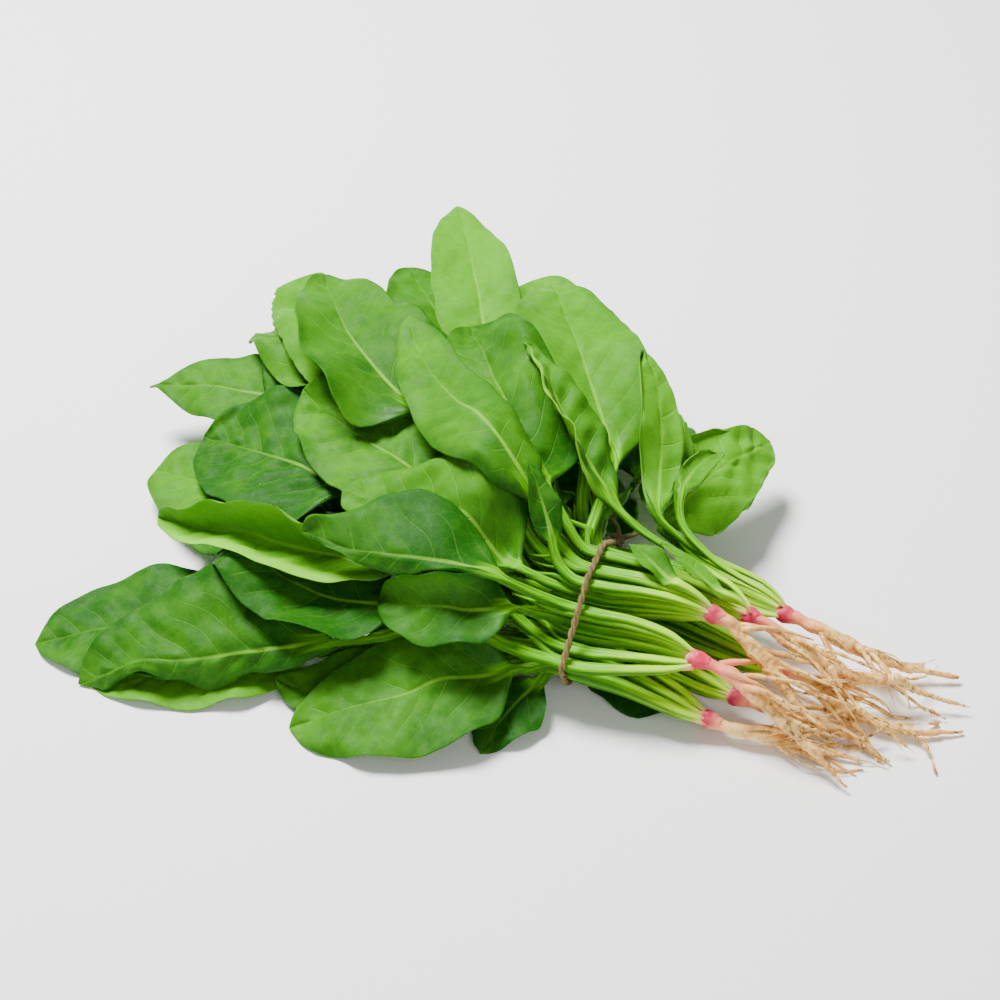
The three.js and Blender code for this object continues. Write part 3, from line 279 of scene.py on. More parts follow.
def hull(points):
    """The convex outline of points in a plane."""
    ordered = [np.array(p) for p in sorted(map(tuple, points))]

    def half(sequence):
        chain = []
        for p in sequence:
            while len(chain) > 1 and np.cross(chain[-1] - chain[-2], p - chain[-2]) <= 0:
                chain.pop()
            chain.append(p)
        return chain[:-1]

    return np.array(half(ordered) + half(ordered[::-1]))


def ring_angles(sides):
    return np.arange(sides) * math.tau / sides


def ring_round(axis, reference, angles):
    """Unit vectors round an axis, at angles from its level side."""
    side = unit(np.cross(axis, reference))
    over = np.cross(side, axis)
    return np.cos(angles)[:, None] * side[..., None, :] + np.sin(angles)[:, None] * over[..., None, :]


# ---- reading the solids

def nodes_of(kind):
    return [name for name in sorted(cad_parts) if name.startswith(kind)]


def merged_solid(name):
    """A solid's points, in metres, the neighbours of each, and its faces."""
    work = bmesh.new()
    work.from_mesh(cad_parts[name].data)
    bmesh.ops.remove_doubles(work, verts=work.verts, dist=MERGE)
    work.verts.index_update()
    points = np.array([v.co[:] for v in work.verts])
    near = [{edge.other_vert(v).index for edge in v.link_edges} for v in work.verts]
    faces = [[v.index for v in face.verts] for face in work.faces]
    work.free()
    return points, near, faces


def layers_to_tip(near):
    """A leaf's points in rings, from the end of its stalk to its tip, where the most edges meet."""
    tip = max(range(len(near)), key=lambda i: len(near[i]))
    layers, seen, layer = [], {tip}, [tip]
    while layer:
        layers.append(layer)
        layer = sorted({j for i in layer for j in near[i]} - seen)
        seen.update(layer)
    return layers[::-1]


def in_order(layer, near):
    """A ring's points, each next to the one before it."""
    members, order = set(layer), [layer[0]]
    while len(order) < len(layer):
        order.append(min((near[order[-1]] & members) - set(order)))
    return order


def aligned(ring, before, near, points):
    """The ring turned so that its points follow those of the ring before it."""
    step = len(ring) // len(before)

    def misfit(turned):
        pairs = [(a, turned[k * step]) for k, a in enumerate(before)]
        joined = sum(b in near[a] for a, b in pairs)
        return -joined, sum(np.linalg.norm(points[a] - points[b]) for a, b in pairs)

    return min((way[k:] + way[:k] for way in (ring, ring[::-1]) for k in range(len(ring))), key=misfit)


def leaf_rings(points, near):
    """A solid leaf's rings, each from its right rim over its upper face, and its tip."""
    layers = layers_to_tip(near)
    rings = [in_order(layer, near) for layer in layers if len(layer) > 1]
    middle = points[rings[0]].mean(0)
    side = np.cross(points[rings[1]].mean(0) - middle, UP)
    start = int(np.argmax((points[rings[0]] - middle) @ side))
    rings[0] = rings[0][start:] + rings[0][:start]
    if points[rings[0][1]][2] < points[rings[0][-1]][2]:
        rings[0] = rings[0][:1] + rings[0][:0:-1]
    for i in range(1, len(rings)):
        rings[i] = aligned(rings[i], rings[i - 1], near, points)
    return rings, points[layers[-1][0]]


def leaf_rows(name):
    """The solid leaf as rows of seven points across its middle surface, half the thickness of each row,
    how many rows its stalk has, and its tip."""
    points, near, _ = merged_solid(name)
    rings, tip = leaf_rings(points, near)
    rows, halves, stalk_count = [], [], 0
    for ring in rings:
        p = points[ring]
        if len(ring) == STALK_SIDES:
            stalk_count += 1
            row = p.mean(0) + COLUMNS[:, None] * (p[0] - p[3]) / 2
            half = np.linalg.norm(p[1] + p[2] - p[4] - p[5]) / 4
        else:
            row = np.array([p[0]] + [(p[c] + p[BLADE_SIDES - c]) / 2 for c in range(1, 6)] + [p[6]])
            half = (np.linalg.norm(p[2] - p[10]) + np.linalg.norm(p[4] - p[8])) / 4
            row[3] = p[3] - unit(p[3] - p[9]) * half
        rows.append(row)
        halves.append(half)
    return np.array(rows), np.array(halves), stalk_count, tip


def crowns():
    """Each root's top, from which its leaves grow, and the direction in which the root sets out."""
    tops = {}
    for name in nodes_of("root_"):
        points = merged_solid(name)[0]
        points = points[np.argsort(points[:, 0])]
        top = points[:TOP_POINTS].mean(0)
        tops[name] = (top, unit(points[TOP_POINTS:NEXT_POINTS].mean(0) - top))
    return tops


# ---- meshes

def kept_inside(points):
    return np.clip(points, cad_low, cad_high)


def linked(name, data):
    """A new object of the scene."""
    piece = bpy.data.objects.new(name, data)
    bpy.context.scene.collection.objects.link(piece)
    return piece


def add_attributes(mesh, attributes):
    """Numbers for a material to read at each point: a list of them, or one for all."""
    for key, values in attributes.items():
        layer = mesh.attributes.new(key, "FLOAT", "POINT")
        spread = np.broadcast_to(np.ravel(values), len(mesh.vertices))
        layer.data.foreach_set("value", spread.astype(np.float32))


def add_mesh(name, points, faces, material):
    mesh = bpy.data.meshes.new(name)
    mesh.from_pydata([tuple(p) for p in points], [], faces)
    mesh.update()
    mesh.shade_smooth()
    mesh.materials.append(material)
    return linked(name, mesh)


def on_root_body(piece, slot, *replaced):
    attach(piece, "root")
    if replaced:
        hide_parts(*replaced)


def grid_faces(rows, around, first=0, closed=False, capped=False):
    """Faces of a tube of rings, each ring with the same count of points."""
    faces = []
    for r in range(rows if closed else rows - 1):
        a, b = first + r * around, first + (r + 1) % rows * around
        for k in range(around):
            n = (k + 1) % around
            faces.append((a + k, b + k, b + n, a + n))
    if capped:
        last = first + (rows - 1) * around
        faces.append(tuple(first + k for k in range(around)))
        faces.append(tuple(last + k for k in range(around - 1, -1, -1)))
    return faces


class Tubes:
    """Tubes gathered into one mesh. Each point knows how far along and round its tube it lies and how
    far from a crown, in mm."""

    def __init__(self):
        self.points, self.faces = [], []
        self.values = {"along": [], "sideways": [], "from_crown": []}

    def add(self, path, radii, sides, reference=UP, closed=False, from_crown=0.0):
        count = len(path)
        if closed:
            tangents = unit(np.roll(path, -1, axis=0) - np.roll(path, 1, axis=0))
        else:
            tangents = unit(np.gradient(path, axis=0))
        angles = ring_angles(sides)
        ring = ring_round(tangents, reference, angles)
        radii = np.atleast_1d(radii)
        radii = np.broadcast_to(radii if radii.ndim == 2 else radii[:, None], (count, sides))
        self.faces.extend(grid_faces(count, sides, len(self.points), closed, capped=not closed))
        self.points.extend((path[:, None] + ring * radii[..., None]).reshape(-1, 3))
        self.values["along"].extend(np.repeat(walked(path) / MM, sides))
        self.values["sideways"].extend((radii * angles / MM).ravel())
        self.values["from_crown"].extend(np.repeat(np.broadcast_to(from_crown, count), sides))

    def piece(self, name, material, **values):
        """All the tubes as one piece, with more values, each the same at every point."""
        points = np.array(self.points)
        points[:, 2] = np.maximum(points[:, 2], 0)
        piece = add_mesh(name, kept_inside(points), self.faces, material)
        add_attributes(piece.data, self.values | values)
        return piece


# ---- leaves

class Leaf:
    """A leaf's middle surface as a grid. Rows run from the end of its stalk to its tip, columns from
    its right rim to its left one."""

    def __init__(self, name, tops):
        self.name = name
        self.number = int(name.removeprefix("leaf_"))
        self.rng = np.random.default_rng(FIRST_LEAF_SEED + self.number)
        self.rows, self.halves, self.stalk_count, self.tip = leaf_rows(name)
        self.tied = self.stalk_count > MOST_LOOSE_ROWS
        end = self.rows[0, 3]
        self.plant = min(tops, key=lambda root: np.linalg.norm(end - tops[root][0]))
        self.crown = tops[self.plant][0]
        self.lay_grid()
        self.measure()

    def lay_grid(self):
        rows, tip, stalk_count = self.rows, self.tip, self.stalk_count
        hidden = len(rows) - stalk_count < FEWEST_SHOWN_ROWS

        # Places along the midrib, nought where the stalk meets the blade and one at the tip.
        along = walked(np.vstack([rows[:, 3], tip]))
        self.foot = along[stalk_count]
        self.blade_length = along[-1] - self.foot
        share = (along - self.foot) / self.blade_length
        knots = np.where(share < 0, share / TIP_POWER, 1 - np.maximum(1 - share, 0) ** (1 / TIP_POWER))
        blade_rows = max(LEAST_BLADE_ROWS, int(self.blade_length / (ROW_STEP * (2 if hidden else 1))))
        stalk_rows = max(LEAST_STALK_ROWS, int(self.foot / STALK_STEP))
        at = np.concatenate([
            np.linspace(knots[0], 0, stalk_rows, endpoint=False),
            np.linspace(0, LAST_ROW, blade_rows),
        ])
        half_across = np.array(HALF_ACROSS[1::2] if hidden else HALF_ACROSS)
        self.middle_column = len(half_across)
        self.across = np.concatenate([half_across[::-1], [0], -half_across])

        cage = np.concatenate([rows, np.repeat(tip[None, None], len(COLUMNS), axis=1)])
        lengthwise = spline(knots, cage, at)
        surface = spline(COLUMNS[::-1], lengthwise[:, ::-1].transpose(1, 0, 2), self.across[::-1])
        self.surface = surface[::-1].transpose(1, 0, 2)
        thickness = np.append(self.halves, BLADE_HALF)[: stalk_count + 1]
        self.stalk_half = spline(knots[: stalk_count + 1], thickness, np.minimum(at, 0)).reshape(-1, 1)
        self.share = np.where(at < 0, at * TIP_POWER, 1 - np.maximum(1 - at, 0) ** TIP_POWER)[:, None]

    def measure(self):
        """How far along and across each point lies, how much of a blade it is, and its way up."""
        surface = self.surface
        self.up_blade = np.clip(self.share, 0, 1)
        self.grown = ease(self.share / FOOT_SHARE)
        self.along = self.share * self.blade_length + 0 * self.across
        self.from_crown = self.along + self.foot
        widths = np.linalg.norm(np.diff(surface, axis=1), axis=2)
        reach = np.concatenate([np.zeros((len(surface), 1)), np.cumsum(widths, axis=1)], axis=1)
        self.sideways = reach[:, self.middle_column, None] - reach
        self.normal = unit(np.cross(np.gradient(surface, axis=0), np.gradient(surface, axis=1)))

    def waves(self, size, beside=None):
        """Random waves over the leaf, or in two lines beside its midrib, so that each rim has its own."""
        across = self.sideways if beside is None else np.sign(self.across) * beside
        return waves(self.rng, size, self.along, across)

    def vein_phase(self):
        """A number that is whole along each side vein and half a whole halfway between two."""
        bend = self.waves(VEIN_BEND)
        out = np.abs(self.sideways)
        swept = out * VEIN_SWEEP + VEIN_CURVE * out**2
        hand = np.where(self.across > 0, 0.0, 0.5)
        return (self.along - swept) / VEIN_SPACING + hand + bend + self.rng.uniform(0, 1)

    def rib(self):
        """One along the midrib, falling to nought beside it."""
        at_foot, at_tip = RIB_WIDTHS
        width = at_foot + (at_tip - at_foot) * self.up_blade
        return np.exp(-((self.sideways / width) ** 2))

    def outline(self):
        """How far each side reaches out, to 1 for the solid leaf: a grown leaf's rim is uneven."""
        uneven = self.waves(UNEVEN_RIM, UNEVEN_BESIDE)
        if self.number in NIBBLED_LEAVES:
            uneven = uneven - ease(self.share / NIBBLES_FULL) * np.abs(self.waves(NIBBLES, UNEVEN_BESIDE))
        return 1 + uneven * self.grown * np.abs(self.across) ** 2

    def rolled(self):
        """One at a rim that is rolled over, nought away from it."""
        side = ROLLED_RIMS.get(self.number, 0)
        near_rim = ease((side * self.across - ROLL_FROM) / (ROLL_TO - ROLL_FROM))
        return near_rim * ease(np.minimum(self.share, 1 - self.share) / ROLL_ENDS)

    def relief(self, phase):
        """How far the blade stands up or down: puckers between its veins, slow waves and a waved rim."""
        crinkle = CRINKLED if self.number in CRINKLED_LEAVES else PLAIN if self.number in PLAIN_LEAVES else 1
        rib = self.rib()
        inside = (1 - np.abs(self.across) ** 4) * (1 - rib)
        pucker = -0.5 * PUCKER_HEIGHT * np.cos(math.tau * phase) * inside * (1 - 0.5 * np.abs(self.across))
        dimple = self.waves(DIMPLES) * inside
        sway = self.waves(SWAY)
        rim = self.waves(RIM_WAVES, RIM_WAVES_BESIDE) * np.abs(self.across) ** 4
        fade = self.grown * ease((1 - self.share) / TIP_FADE)
        total = ((pucker + dimple + rim) * crinkle + sway) * fade - RIB_FURROW * rib * self.grown
        highest = PRESSED_RELIEF if self.number in PRESSED_LEAVES else DEEPEST_RELIEF
        return np.clip(total, -DEEPEST_RELIEF, highest) + ROLL_LIFT * self.rolled() * fade

    def fullness(self):
        """How much fuller the grown stalk is than the solid one, most in the sheath above its crown."""
        own = self.rng.uniform(*STALK_FULLNESS)
        away = self.from_crown[:, :1]
        sheath = SHEATH_FULLNESS * self.tied * np.exp(-((away - SHEATH_LENGTH) / SHEATH_LENGTH) ** 2)
        return 1 + (own - 1 + sheath) * (1 - self.grown)

    def drawn_in(self, points):
        """The stalk's end drawn in to its plant's crown."""
        away = 1 - np.clip(self.from_crown[:, :1] / DRAWN_LENGTH, 0, 1)
        share = (DRAWN_SHARE * away**1.5)[..., None]
        return points + (self.crown - points) * share

    def skins(self, phase):
        """The points of its upper and lower face."""
        full, rib, grown = self.fullness(), self.rib(), self.grown
        round_stalk = np.sqrt(np.maximum(0, 1 - self.across**2)) * self.stalk_half * full
        groove = GROOVE_DEPTH * self.stalk_half * np.exp(-((self.across / 0.3) ** 2))
        groove = groove * ease(self.from_crown / GROOVE_FULL)
        blade_half = BLADE_HALF * np.sqrt(np.maximum(0, 1 - self.across**8))
        rib_under = RIB_HEIGHT * (1 - 0.8 * self.up_blade) * rib
        over = (round_stalk - groove) * (1 - grown) + blade_half * grown
        under = round_stalk * (1 - grown) + (blade_half + rib_under) * grown
        centre = self.surface[:, self.middle_column, None]
        middle = centre + (self.surface - centre) * (full * self.outline())[..., None]
        middle = middle + self.normal * self.relief(phase)[..., None]
        upper, lower = middle + self.normal * over[..., None], middle - self.normal * under[..., None]
        return self.drawn_in(upper), self.drawn_in(lower)

    def tone(self):
        own = next((tone for tone, members in LEAF_TONES_AND_SHADE.items() if self.number in members), OTHER_TONE)
        return own + self.rng.uniform(-TONE_SPREAD, TONE_SPREAD)

    def piece(self, material):
        phase = self.vein_phase()
        top, bottom = self.skins(phase)
        around = np.concatenate([top, bottom[:, -2:0:-1]], axis=1)
        count, ring_size = around.shape[:2]
        points = np.vstack([around.reshape(-1, 3), self.tip, around[0].mean(0)])
        faces = grid_faces(count, ring_size)
        last, tip_index, end_index = (count - 1) * ring_size, len(points) - 2, len(points) - 1
        for k in range(ring_size):
            n = (k + 1) % ring_size
            faces.append((last + k, tip_index, last + n))
            faces.append((end_index, k, n))

        def spread(grid, at_tip, at_end):
            grid = grid + 0 * self.along
            whole = np.concatenate([grid, grid[:, -2:0:-1]], axis=1).ravel()
            return np.concatenate([whole, [at_tip, at_end]])

        below = np.concatenate([np.zeros_like(self.across), np.ones(len(self.across) - 2)])
        whole_length = (self.foot + self.blade_length) / MM
        piece = add_mesh(f"spinach_leaf_{self.number:02d}", kept_inside(points), faces, material)
        add_attributes(piece.data, {
            "along": spread(self.along / MM, self.blade_length / MM, -self.foot / MM),
            "sideways": spread(self.sideways / MM, 0, 0),
            "edge_share": spread(self.across, 0, 0),
            "vein": spread(phase, 0, 0),
            "rolled": spread(self.rolled(), 0, 0),
            "grown": spread(self.grown, 1, 0),
            "along_share": spread(self.share, 1, -1),
            "from_crown": spread(self.from_crown / MM, whole_length, 0),
            "under": np.concatenate([np.tile(below, count), [0, 0]]),
            "tone": self.tone(),
            "own": self.number,
        })
        on_root_body(piece, "leaf", self.name)

    def stalk_line(self, at_x):
        """The middle of its stalk at each distance from the tie."""
        middles = self.rows[: self.stalk_count, 3][::-1]
        return np.array([np.interp(at_x, middles[:, 0], middles[:, axis]) for axis in range(3)]).T

    def in_tie(self):
        return self.stalk_line(np.array([0.0]))[0]


def young_stalks(name, top, leaves, middle, material, rng):
    """Thin stalks of young leaves, from a plant's crown to just beyond the tie, between the larger ones."""
    at_x = np.arange(top[0] - 1 * MM, -YOUNG_BEYOND, -YOUNG_STEP)
    at_tie = int(np.argmin(np.abs(at_x)))
    lines = [leaf.stalk_line(at_x) for leaf in leaves]
    share = np.linspace(0, 1, len(at_x))
    dive = ease((share - DIVE_START) / (1 - DIVE_START))
    taper = (0.6 + 0.4 * ease(share / 0.4)) * (1 - 0.8 * ease((share - TAPER_START) / (1 - TAPER_START)))
    tubes = Tubes()
    for i, a in enumerate(lines):
        for b in lines[:i]:
            if np.linalg.norm(a[at_tie] - b[at_tie]) > WIDEST_GAP:
                continue
            weight = rng.uniform(*YOUNG_SHARE)
            path = weight * a + (1 - weight) * b
            path[:, 0] = at_x
            proud = unit((path[at_tie] - middle) * ACROSS_STALKS) * YOUNG_PROUD
            path = path + ease(share / 0.3)[:, None] * proud
            path[:, 1] += waves(rng, YOUNG_SWAY, at_x, 0)
            path = path - dive[:, None] * unit((path - middle) * ACROSS_STALKS) * YOUNG_DIVE
            radius = rng.uniform(*YOUNG_RADIUS) * MM
            tubes.add(path, radius * taper, YOUNG_SIDES, from_crown=share * (at_x[0] - at_x[-1]) / MM)
    if tubes.points:
        # Half an underside: the young stalks carry part of the painted shade under a stalk.
        on_root_body(tubes.piece(name.replace("root_", "young_stalks_"), material, under=0.5), "leaf")


# ---- materials

def colour(red, green, blue):
    """A colour seen on screen, 0 to 255, as the shader's own linear one."""
    def linear(c):
        c /= 255
        return c / 12.92 if c <= 0.04045 else ((c + 0.055) / 1.055) ** 2.4
    return (linear(red), linear(green), linear(blue), 1)


PALE_BLADE, DEEP_BLADE = colour(82, 152, 18), colour(22, 80, 6)
SPECKLE = colour(18, 70, 4)
NET_GREEN, SIDE_VEIN_GREEN, RIB_GREEN = colour(120, 184, 54), colour(124, 190, 60), colour(134, 196, 50)
UNDERSIDE, ROLLED_UNDERSIDE_AND_HIGHLIGHT = colour(104, 156, 54), colour(126, 200, 36)
DEEP_STALK, FRESH_STALK, PALE_STALK_AND_HIGHLIGHT = colour(60, 136, 0), colour(118, 196, 0), colour(192, 248, 30)
STALK_PAINTED_SHADE, STALK_WHITE, STALK_BLUSH = colour(34, 92, 2), colour(238, 206, 140), colour(226, 96, 110)
PALE_TAN, DEEP_TAN = colour(252, 212, 126), colour(230, 170, 82)
BROWN, DIRT = colour(160, 100, 36), colour(86, 66, 26)
ROSE, CRIMSON, DARK_CRIMSON = colour(232, 34, 84), colour(172, 0, 64), colour(150, 24, 48)
SALMON, CREAM = colour(242, 140, 106), colour(224, 196, 130)
DARK_STRAW, PALE_STRAW, WEATHERED_STRAW = colour(60, 50, 22), colour(152, 126, 70), colour(92, 82, 40)
FLOOR_WHITE = colour(250, 250, 249)


class Nodes:
    """Short ways to add and join a material's nodes."""

    def __init__(self, name):
        self.material = bpy.data.materials.new(name)
        self.material.use_nodes = True
        self.tree = self.material.node_tree
        self.shader = self.tree.nodes["Principled BSDF"]

    def new(self, kind):
        return self.tree.nodes.new("ShaderNode" + kind)

    def put(self, node, values):
        """Joins or sets a node's inputs, by place or by name. Gives back its outputs."""
        for key, value in values.items():
            if isinstance(value, bpy.types.NodeSocket):
                self.tree.links.new(value, node.inputs[key])
            elif value is not None:
                node.inputs[key].default_value = value
        return node.outputs

    def attribute(self, name):
        node = self.new("Attribute")
        node.attribute_name = name
        return node.outputs["Fac"]

    def math(self, operation, a, b=None, c=None, clamp=False):
        node = self.new("Math")
        node.operation = operation
        node.use_clamp = clamp
        return self.put(node, {0: a, 1: b, 2: c})[0]

    def times(self, a, b):
        return self.math("MULTIPLY", a, b)

    def uneven(self, noise, strength, value):
        """The value pushed up or down by a noise."""
        return self.math("MULTIPLY_ADD", self.math("SUBTRACT", noise, 0.5), strength, value)

    def between(self, value, low, high, to_low=0.0, to_high=1.0):
        """A smooth step from to_low at low to to_high at high."""
        node = self.new("MapRange")
        node.interpolation_type = "SMOOTHSTEP"
        return self.put(node, {0: value, 1: low, 2: high, 3: to_low, 4: to_high})[0]

    def mix(self, share, a, b):
        """Colour a, with a share of colour b."""
        node = self.new("Mix")
        node.data_type = "RGBA"
        return self.put(node, {0: share, 6: a, 7: b})[2]

    def join(self, x, y, z):
        return self.put(self.new("CombineXYZ"), {0: x, 1: y, 2: z})[0]

    def noise(self, vector, scale, detail=3.0, roughness=0.5, distortion=0.0):
        values = {"Vector": vector, "Scale": scale, "Detail": detail, "Roughness": roughness}
        values["Distortion"] = distortion
        return self.put(self.new("TexNoise"), values)["Fac"]

    def cell_edges(self, vector, scale):
        """How far a point lies from the nearest edge of a net of cells."""
        node = self.new("TexVoronoi")
        node.feature = "DISTANCE_TO_EDGE"
        return self.put(node, {"Vector": vector, "Scale": scale})["Distance"]

    def bump(self, height, distance, strength):
        values = {"Height": height, "Distance": distance, "Strength": strength}
        return self.put(self.new("Bump"), values)[0]


def blade_colour(n, flat, edge, share, fine):
    """Patches of lighter and deeper green round each leaf's tone, which is partly painted shade, with painted
    shade at the rim and towards the foot.
    """
    patches = n.noise(flat, 0.04, 3.0, 0.55)
    # Painted shade: the rim a little deeper, to part leaves that overlap.
    rim = n.between(edge, 0.7, 1.0, 0.0, 0.14)
    mottle = n.noise(flat, 0.16, 3.0, 0.6)
    # Painted shade: deeper towards the blade's foot, a little lighter towards its tip; the mottle is the
    # leaf's own.
    uneven = n.uneven(mottle, 0.3, n.between(share, 0.05, 0.7, 0.14, -0.03))
    uneven = n.uneven(patches, 0.9, uneven)
    depth = n.math("ADD", n.math("ADD", n.attribute("tone"), rim), uneven, clamp=True)
    green = n.mix(depth, PALE_BLADE, DEEP_BLADE)
    return n.mix(n.times(n.between(fine, 0.3, 0.75), 0.16), green, SPECKLE)


def blade_veins(n, flat, along, sideways, edge, share):
    """The side veins and the net of small veins between them, one on a vein and nought beside it."""
    wave = n.math("PINGPONG", n.attribute("vein"), 0.5)
    side_vein = n.between(wave, 0.01, 0.055, 1.0, 0.0)
    side_vein = n.times(side_vein, n.between(edge, 0.4, 0.95, 1.0, 0.1))
    side_vein = n.times(side_vein, n.between(share, 0.04, 0.16))
    along = n.math("ADD", along, n.times(n.noise(flat, 0.12, 2.0), 4.0))
    place = n.join(along, sideways, n.times(n.attribute("own"), 11.0))
    coarse_net = n.between(n.cell_edges(place, 0.19), 0.0, 0.1, 1.0, 0.0)
    fine_net = n.between(n.cell_edges(place, 0.62), 0.0, 0.15, 1.0, 0.0)
    return side_vein, n.math("ADD", n.times(coarse_net, 0.035), n.times(fine_net, 0.02))


def stalk_colour(n, along, sideways, edge, under, from_crown):
    """Fresh green at the blade, pale and brightened by a painted highlight above the crown, pink where it
    joins the root, with painted shade along its sides and under it.
    """
    streaks = n.noise(n.join(n.times(along, 0.05), sideways, n.attribute("own")), 1.6, 3.0)
    stalk = n.mix(n.between(streaks, 0.3, 0.7), DEEP_STALK, FRESH_STALK)
    # Pale above the crown, that pale green brightened as a painted highlight.
    stalk = n.mix(n.times(n.between(from_crown, 6.0, 46.0, 1.0, 0.0), 0.75), stalk, PALE_STALK_AND_HIGHLIGHT)
    # Painted shade along each stalk's sides and under it, dark lines between the stalks.
    painted_shade = n.times(n.between(edge, 0.5, 1.0), n.between(from_crown, 2.0, 16.0, 0.25, 0.85))
    stalk = n.mix(n.math("MAXIMUM", painted_shade, n.times(under, 0.7)), stalk, STALK_PAINTED_SHADE)
    stalk = n.mix(n.times(n.between(from_crown, 3.0, 9.0, 1.0, 0.0), 0.6), stalk, STALK_WHITE)
    return n.mix(n.between(from_crown, 1.0, 4.5, 0.7, 0.0), stalk, STALK_BLUSH)


def leaf_material():
    """A blade with its veins, and a stalk. Lengths are in mm, shares run from nought to one."""
    n = Nodes("spinach_leaf")
    along, sideways = n.attribute("along"), n.attribute("sideways")
    grown, under = n.attribute("grown"), n.attribute("under")
    share, from_crown = n.attribute("along_share"), n.attribute("from_crown")
    edge = n.math("ABSOLUTE", n.attribute("edge_share"))
    out = n.math("ABSOLUTE", sideways)
    flat = n.join(along, sideways, n.times(n.attribute("own"), 37.0))
    fine = n.noise(flat, 0.4, 4.0, 0.6)

    green = blade_colour(n, flat, edge, share, fine)
    side_vein, net = blade_veins(n, flat, along, sideways, edge, share)
    rib = n.between(n.math("DIVIDE", out, n.between(share, 0.0, 1.0, 1.2, 0.25)), 0.4, 1.0, 1.0, 0.0)
    green = n.mix(net, green, NET_GREEN)
    green = n.mix(n.times(side_vein, 0.11), green, SIDE_VEIN_GREEN)
    green = n.mix(under, green, n.mix(0.4, green, UNDERSIDE))
    green = n.mix(n.times(rib, n.between(share, 0.05, 0.8, 0.6, 0.12)), green, RIB_GREEN)
    # The rolled rim shows the underside's paler green, brightened as a painted highlight.
    green = n.mix(n.times(n.attribute("rolled"), 0.75), green, ROLLED_UNDERSIDE_AND_HIGHLIGHT)
    stalk = stalk_colour(n, along, sideways, edge, under, from_crown)
    blade = n.math("MAXIMUM", grown, n.between(out, 3.3, 5.0))

    veins_low = n.math("MULTIPLY_ADD", side_vein, -0.7, n.times(net, -1.6))
    height = n.math("ADD", n.times(veins_low, grown), n.times(n.noise(flat, 2.2, 3.0, 0.6), 0.22))
    rough = n.math("ADD", n.between(fine, 0.2, 0.8, 0.5, 0.64), n.times(under, 0.12))
    rough = n.math("ADD", rough, n.between(grown, 0.0, 1.0, -0.24, 0.0))
    n.put(n.shader, {
        "Base Color": n.mix(blade, stalk, green), "Roughness": rough, "Specular IOR Level": 0.1,
        "Normal": n.bump(height, 0.3 * MM, 0.7),
        "Subsurface Weight": 0.25, "Subsurface Radius": (0.5, 1.0, 0.18), "Subsurface Scale": 1.2 * MM,
    })
    return n.material


def root_material():
    """Tan skin flecked with soil, pink at the crown."""
    n = Nodes("root_skin")
    place = n.new("TexCoord").outputs["Object"]
    from_crown, reach, crimson = n.attribute("from_crown"), n.attribute("pink_reach"), n.attribute("crimson")
    mottle = n.noise(place, 220.0, 5.0, 0.6)
    coarse = n.noise(place, 60.0, 3.0)
    tan = n.mix(n.between(coarse, 0.3, 0.7), PALE_TAN, DEEP_TAN)
    tan = n.mix(n.times(n.between(mottle, 0.45, 0.62), 0.6), tan, BROWN)
    dirt = n.between(n.noise(place, 380.0, 6.0, 0.7, 0.6), 0.54, 0.62)
    tan = n.mix(n.times(dirt, n.between(from_crown, 8.0, 40.0, 0.1, 0.85)), tan, DIRT)

    # Crimson or rose at the crown, salmon below it, then the skin's own tan.
    away = n.math("DIVIDE", n.math("ADD", from_crown, n.times(coarse, 8.0)), reach)
    knob = n.mix(crimson, ROSE, CRIMSON)
    knob = n.mix(n.times(n.between(mottle, 0.4, 0.65), 0.45), knob, DARK_CRIMSON)
    pink = n.mix(n.between(away, 0.3, 1.1), knob, SALMON)
    base = n.mix(n.between(away, 0.8, 2.1), pink, tan)
    base = n.mix(n.between(from_crown, -5.6, -3.0, 0.9, 0.0), base, CREAM)
    height = n.math("ADD", n.noise(place, 420.0, 3.0, 0.7), mottle)
    n.put(n.shader, {
        "Base Color": base, "Roughness": n.between(mottle, 0.3, 0.8, 0.5, 0.8),
        "Normal": n.bump(height, 0.4 * MM, 0.6),
        "Subsurface Weight": 0.15, "Subsurface Radius": (1.0, 0.5, 0.3), "Subsurface Scale": 1.5 * MM,
    })
    return n.material


def straw_material():
    """Dry straw, streaked along each strand."""
    n = Nodes("dry_straw")
    fibre = n.join(n.times(n.attribute("along"), 0.08), n.attribute("sideways"), 0.0)
    streak = n.noise(fibre, 1.7, 5.0, 0.65)
    base = n.mix(n.between(streak, 0.3, 0.7), DARK_STRAW, PALE_STRAW)
    weather = n.between(n.noise(n.new("TexCoord").outputs["Object"], 70.0, 2.0), 0.4, 0.7)
    base = n.mix(n.times(weather, 0.4), base, WEATHERED_STRAW)
    n.put(n.shader, {
        "Base Color": base, "Roughness": n.between(streak, 0.2, 0.8, 0.6, 0.85),
        "Normal": n.bump(streak, 0.5 * MM, 0.8),
    })
    return n.material


# ---- roots

def vectors_of(collection, key):
    values = np.empty(len(collection) * 3)
    collection.foreach_get(key, values)
    return values.reshape(-1, 3)


def pink_of(name):
    """What a root's material reads of its colour."""
    reach, crimson = PINK[name]
    return {"pink_reach": reach, "crimson": crimson}


def rounded(piece):
    """The piece remeshed, with its joints and edges rounded."""
    remesh = piece.modifiers.new("round", "REMESH")
    remesh.mode = "VOXEL"
    remesh.voxel_size = ROOT_VOXEL
    smooth = piece.modifiers.new("soften", "SMOOTH")
    smooth.iterations = ROOT_SMOOTHING
    smooth.factor = 0.5
    graph = bpy.context.evaluated_depsgraph_get()
    fine = bpy.data.meshes.new_from_object(piece.evaluated_get(graph))
    piece.modifiers.clear()
    old = piece.data
    piece.data = fine
    bpy.data.meshes.remove(old)
    return fine


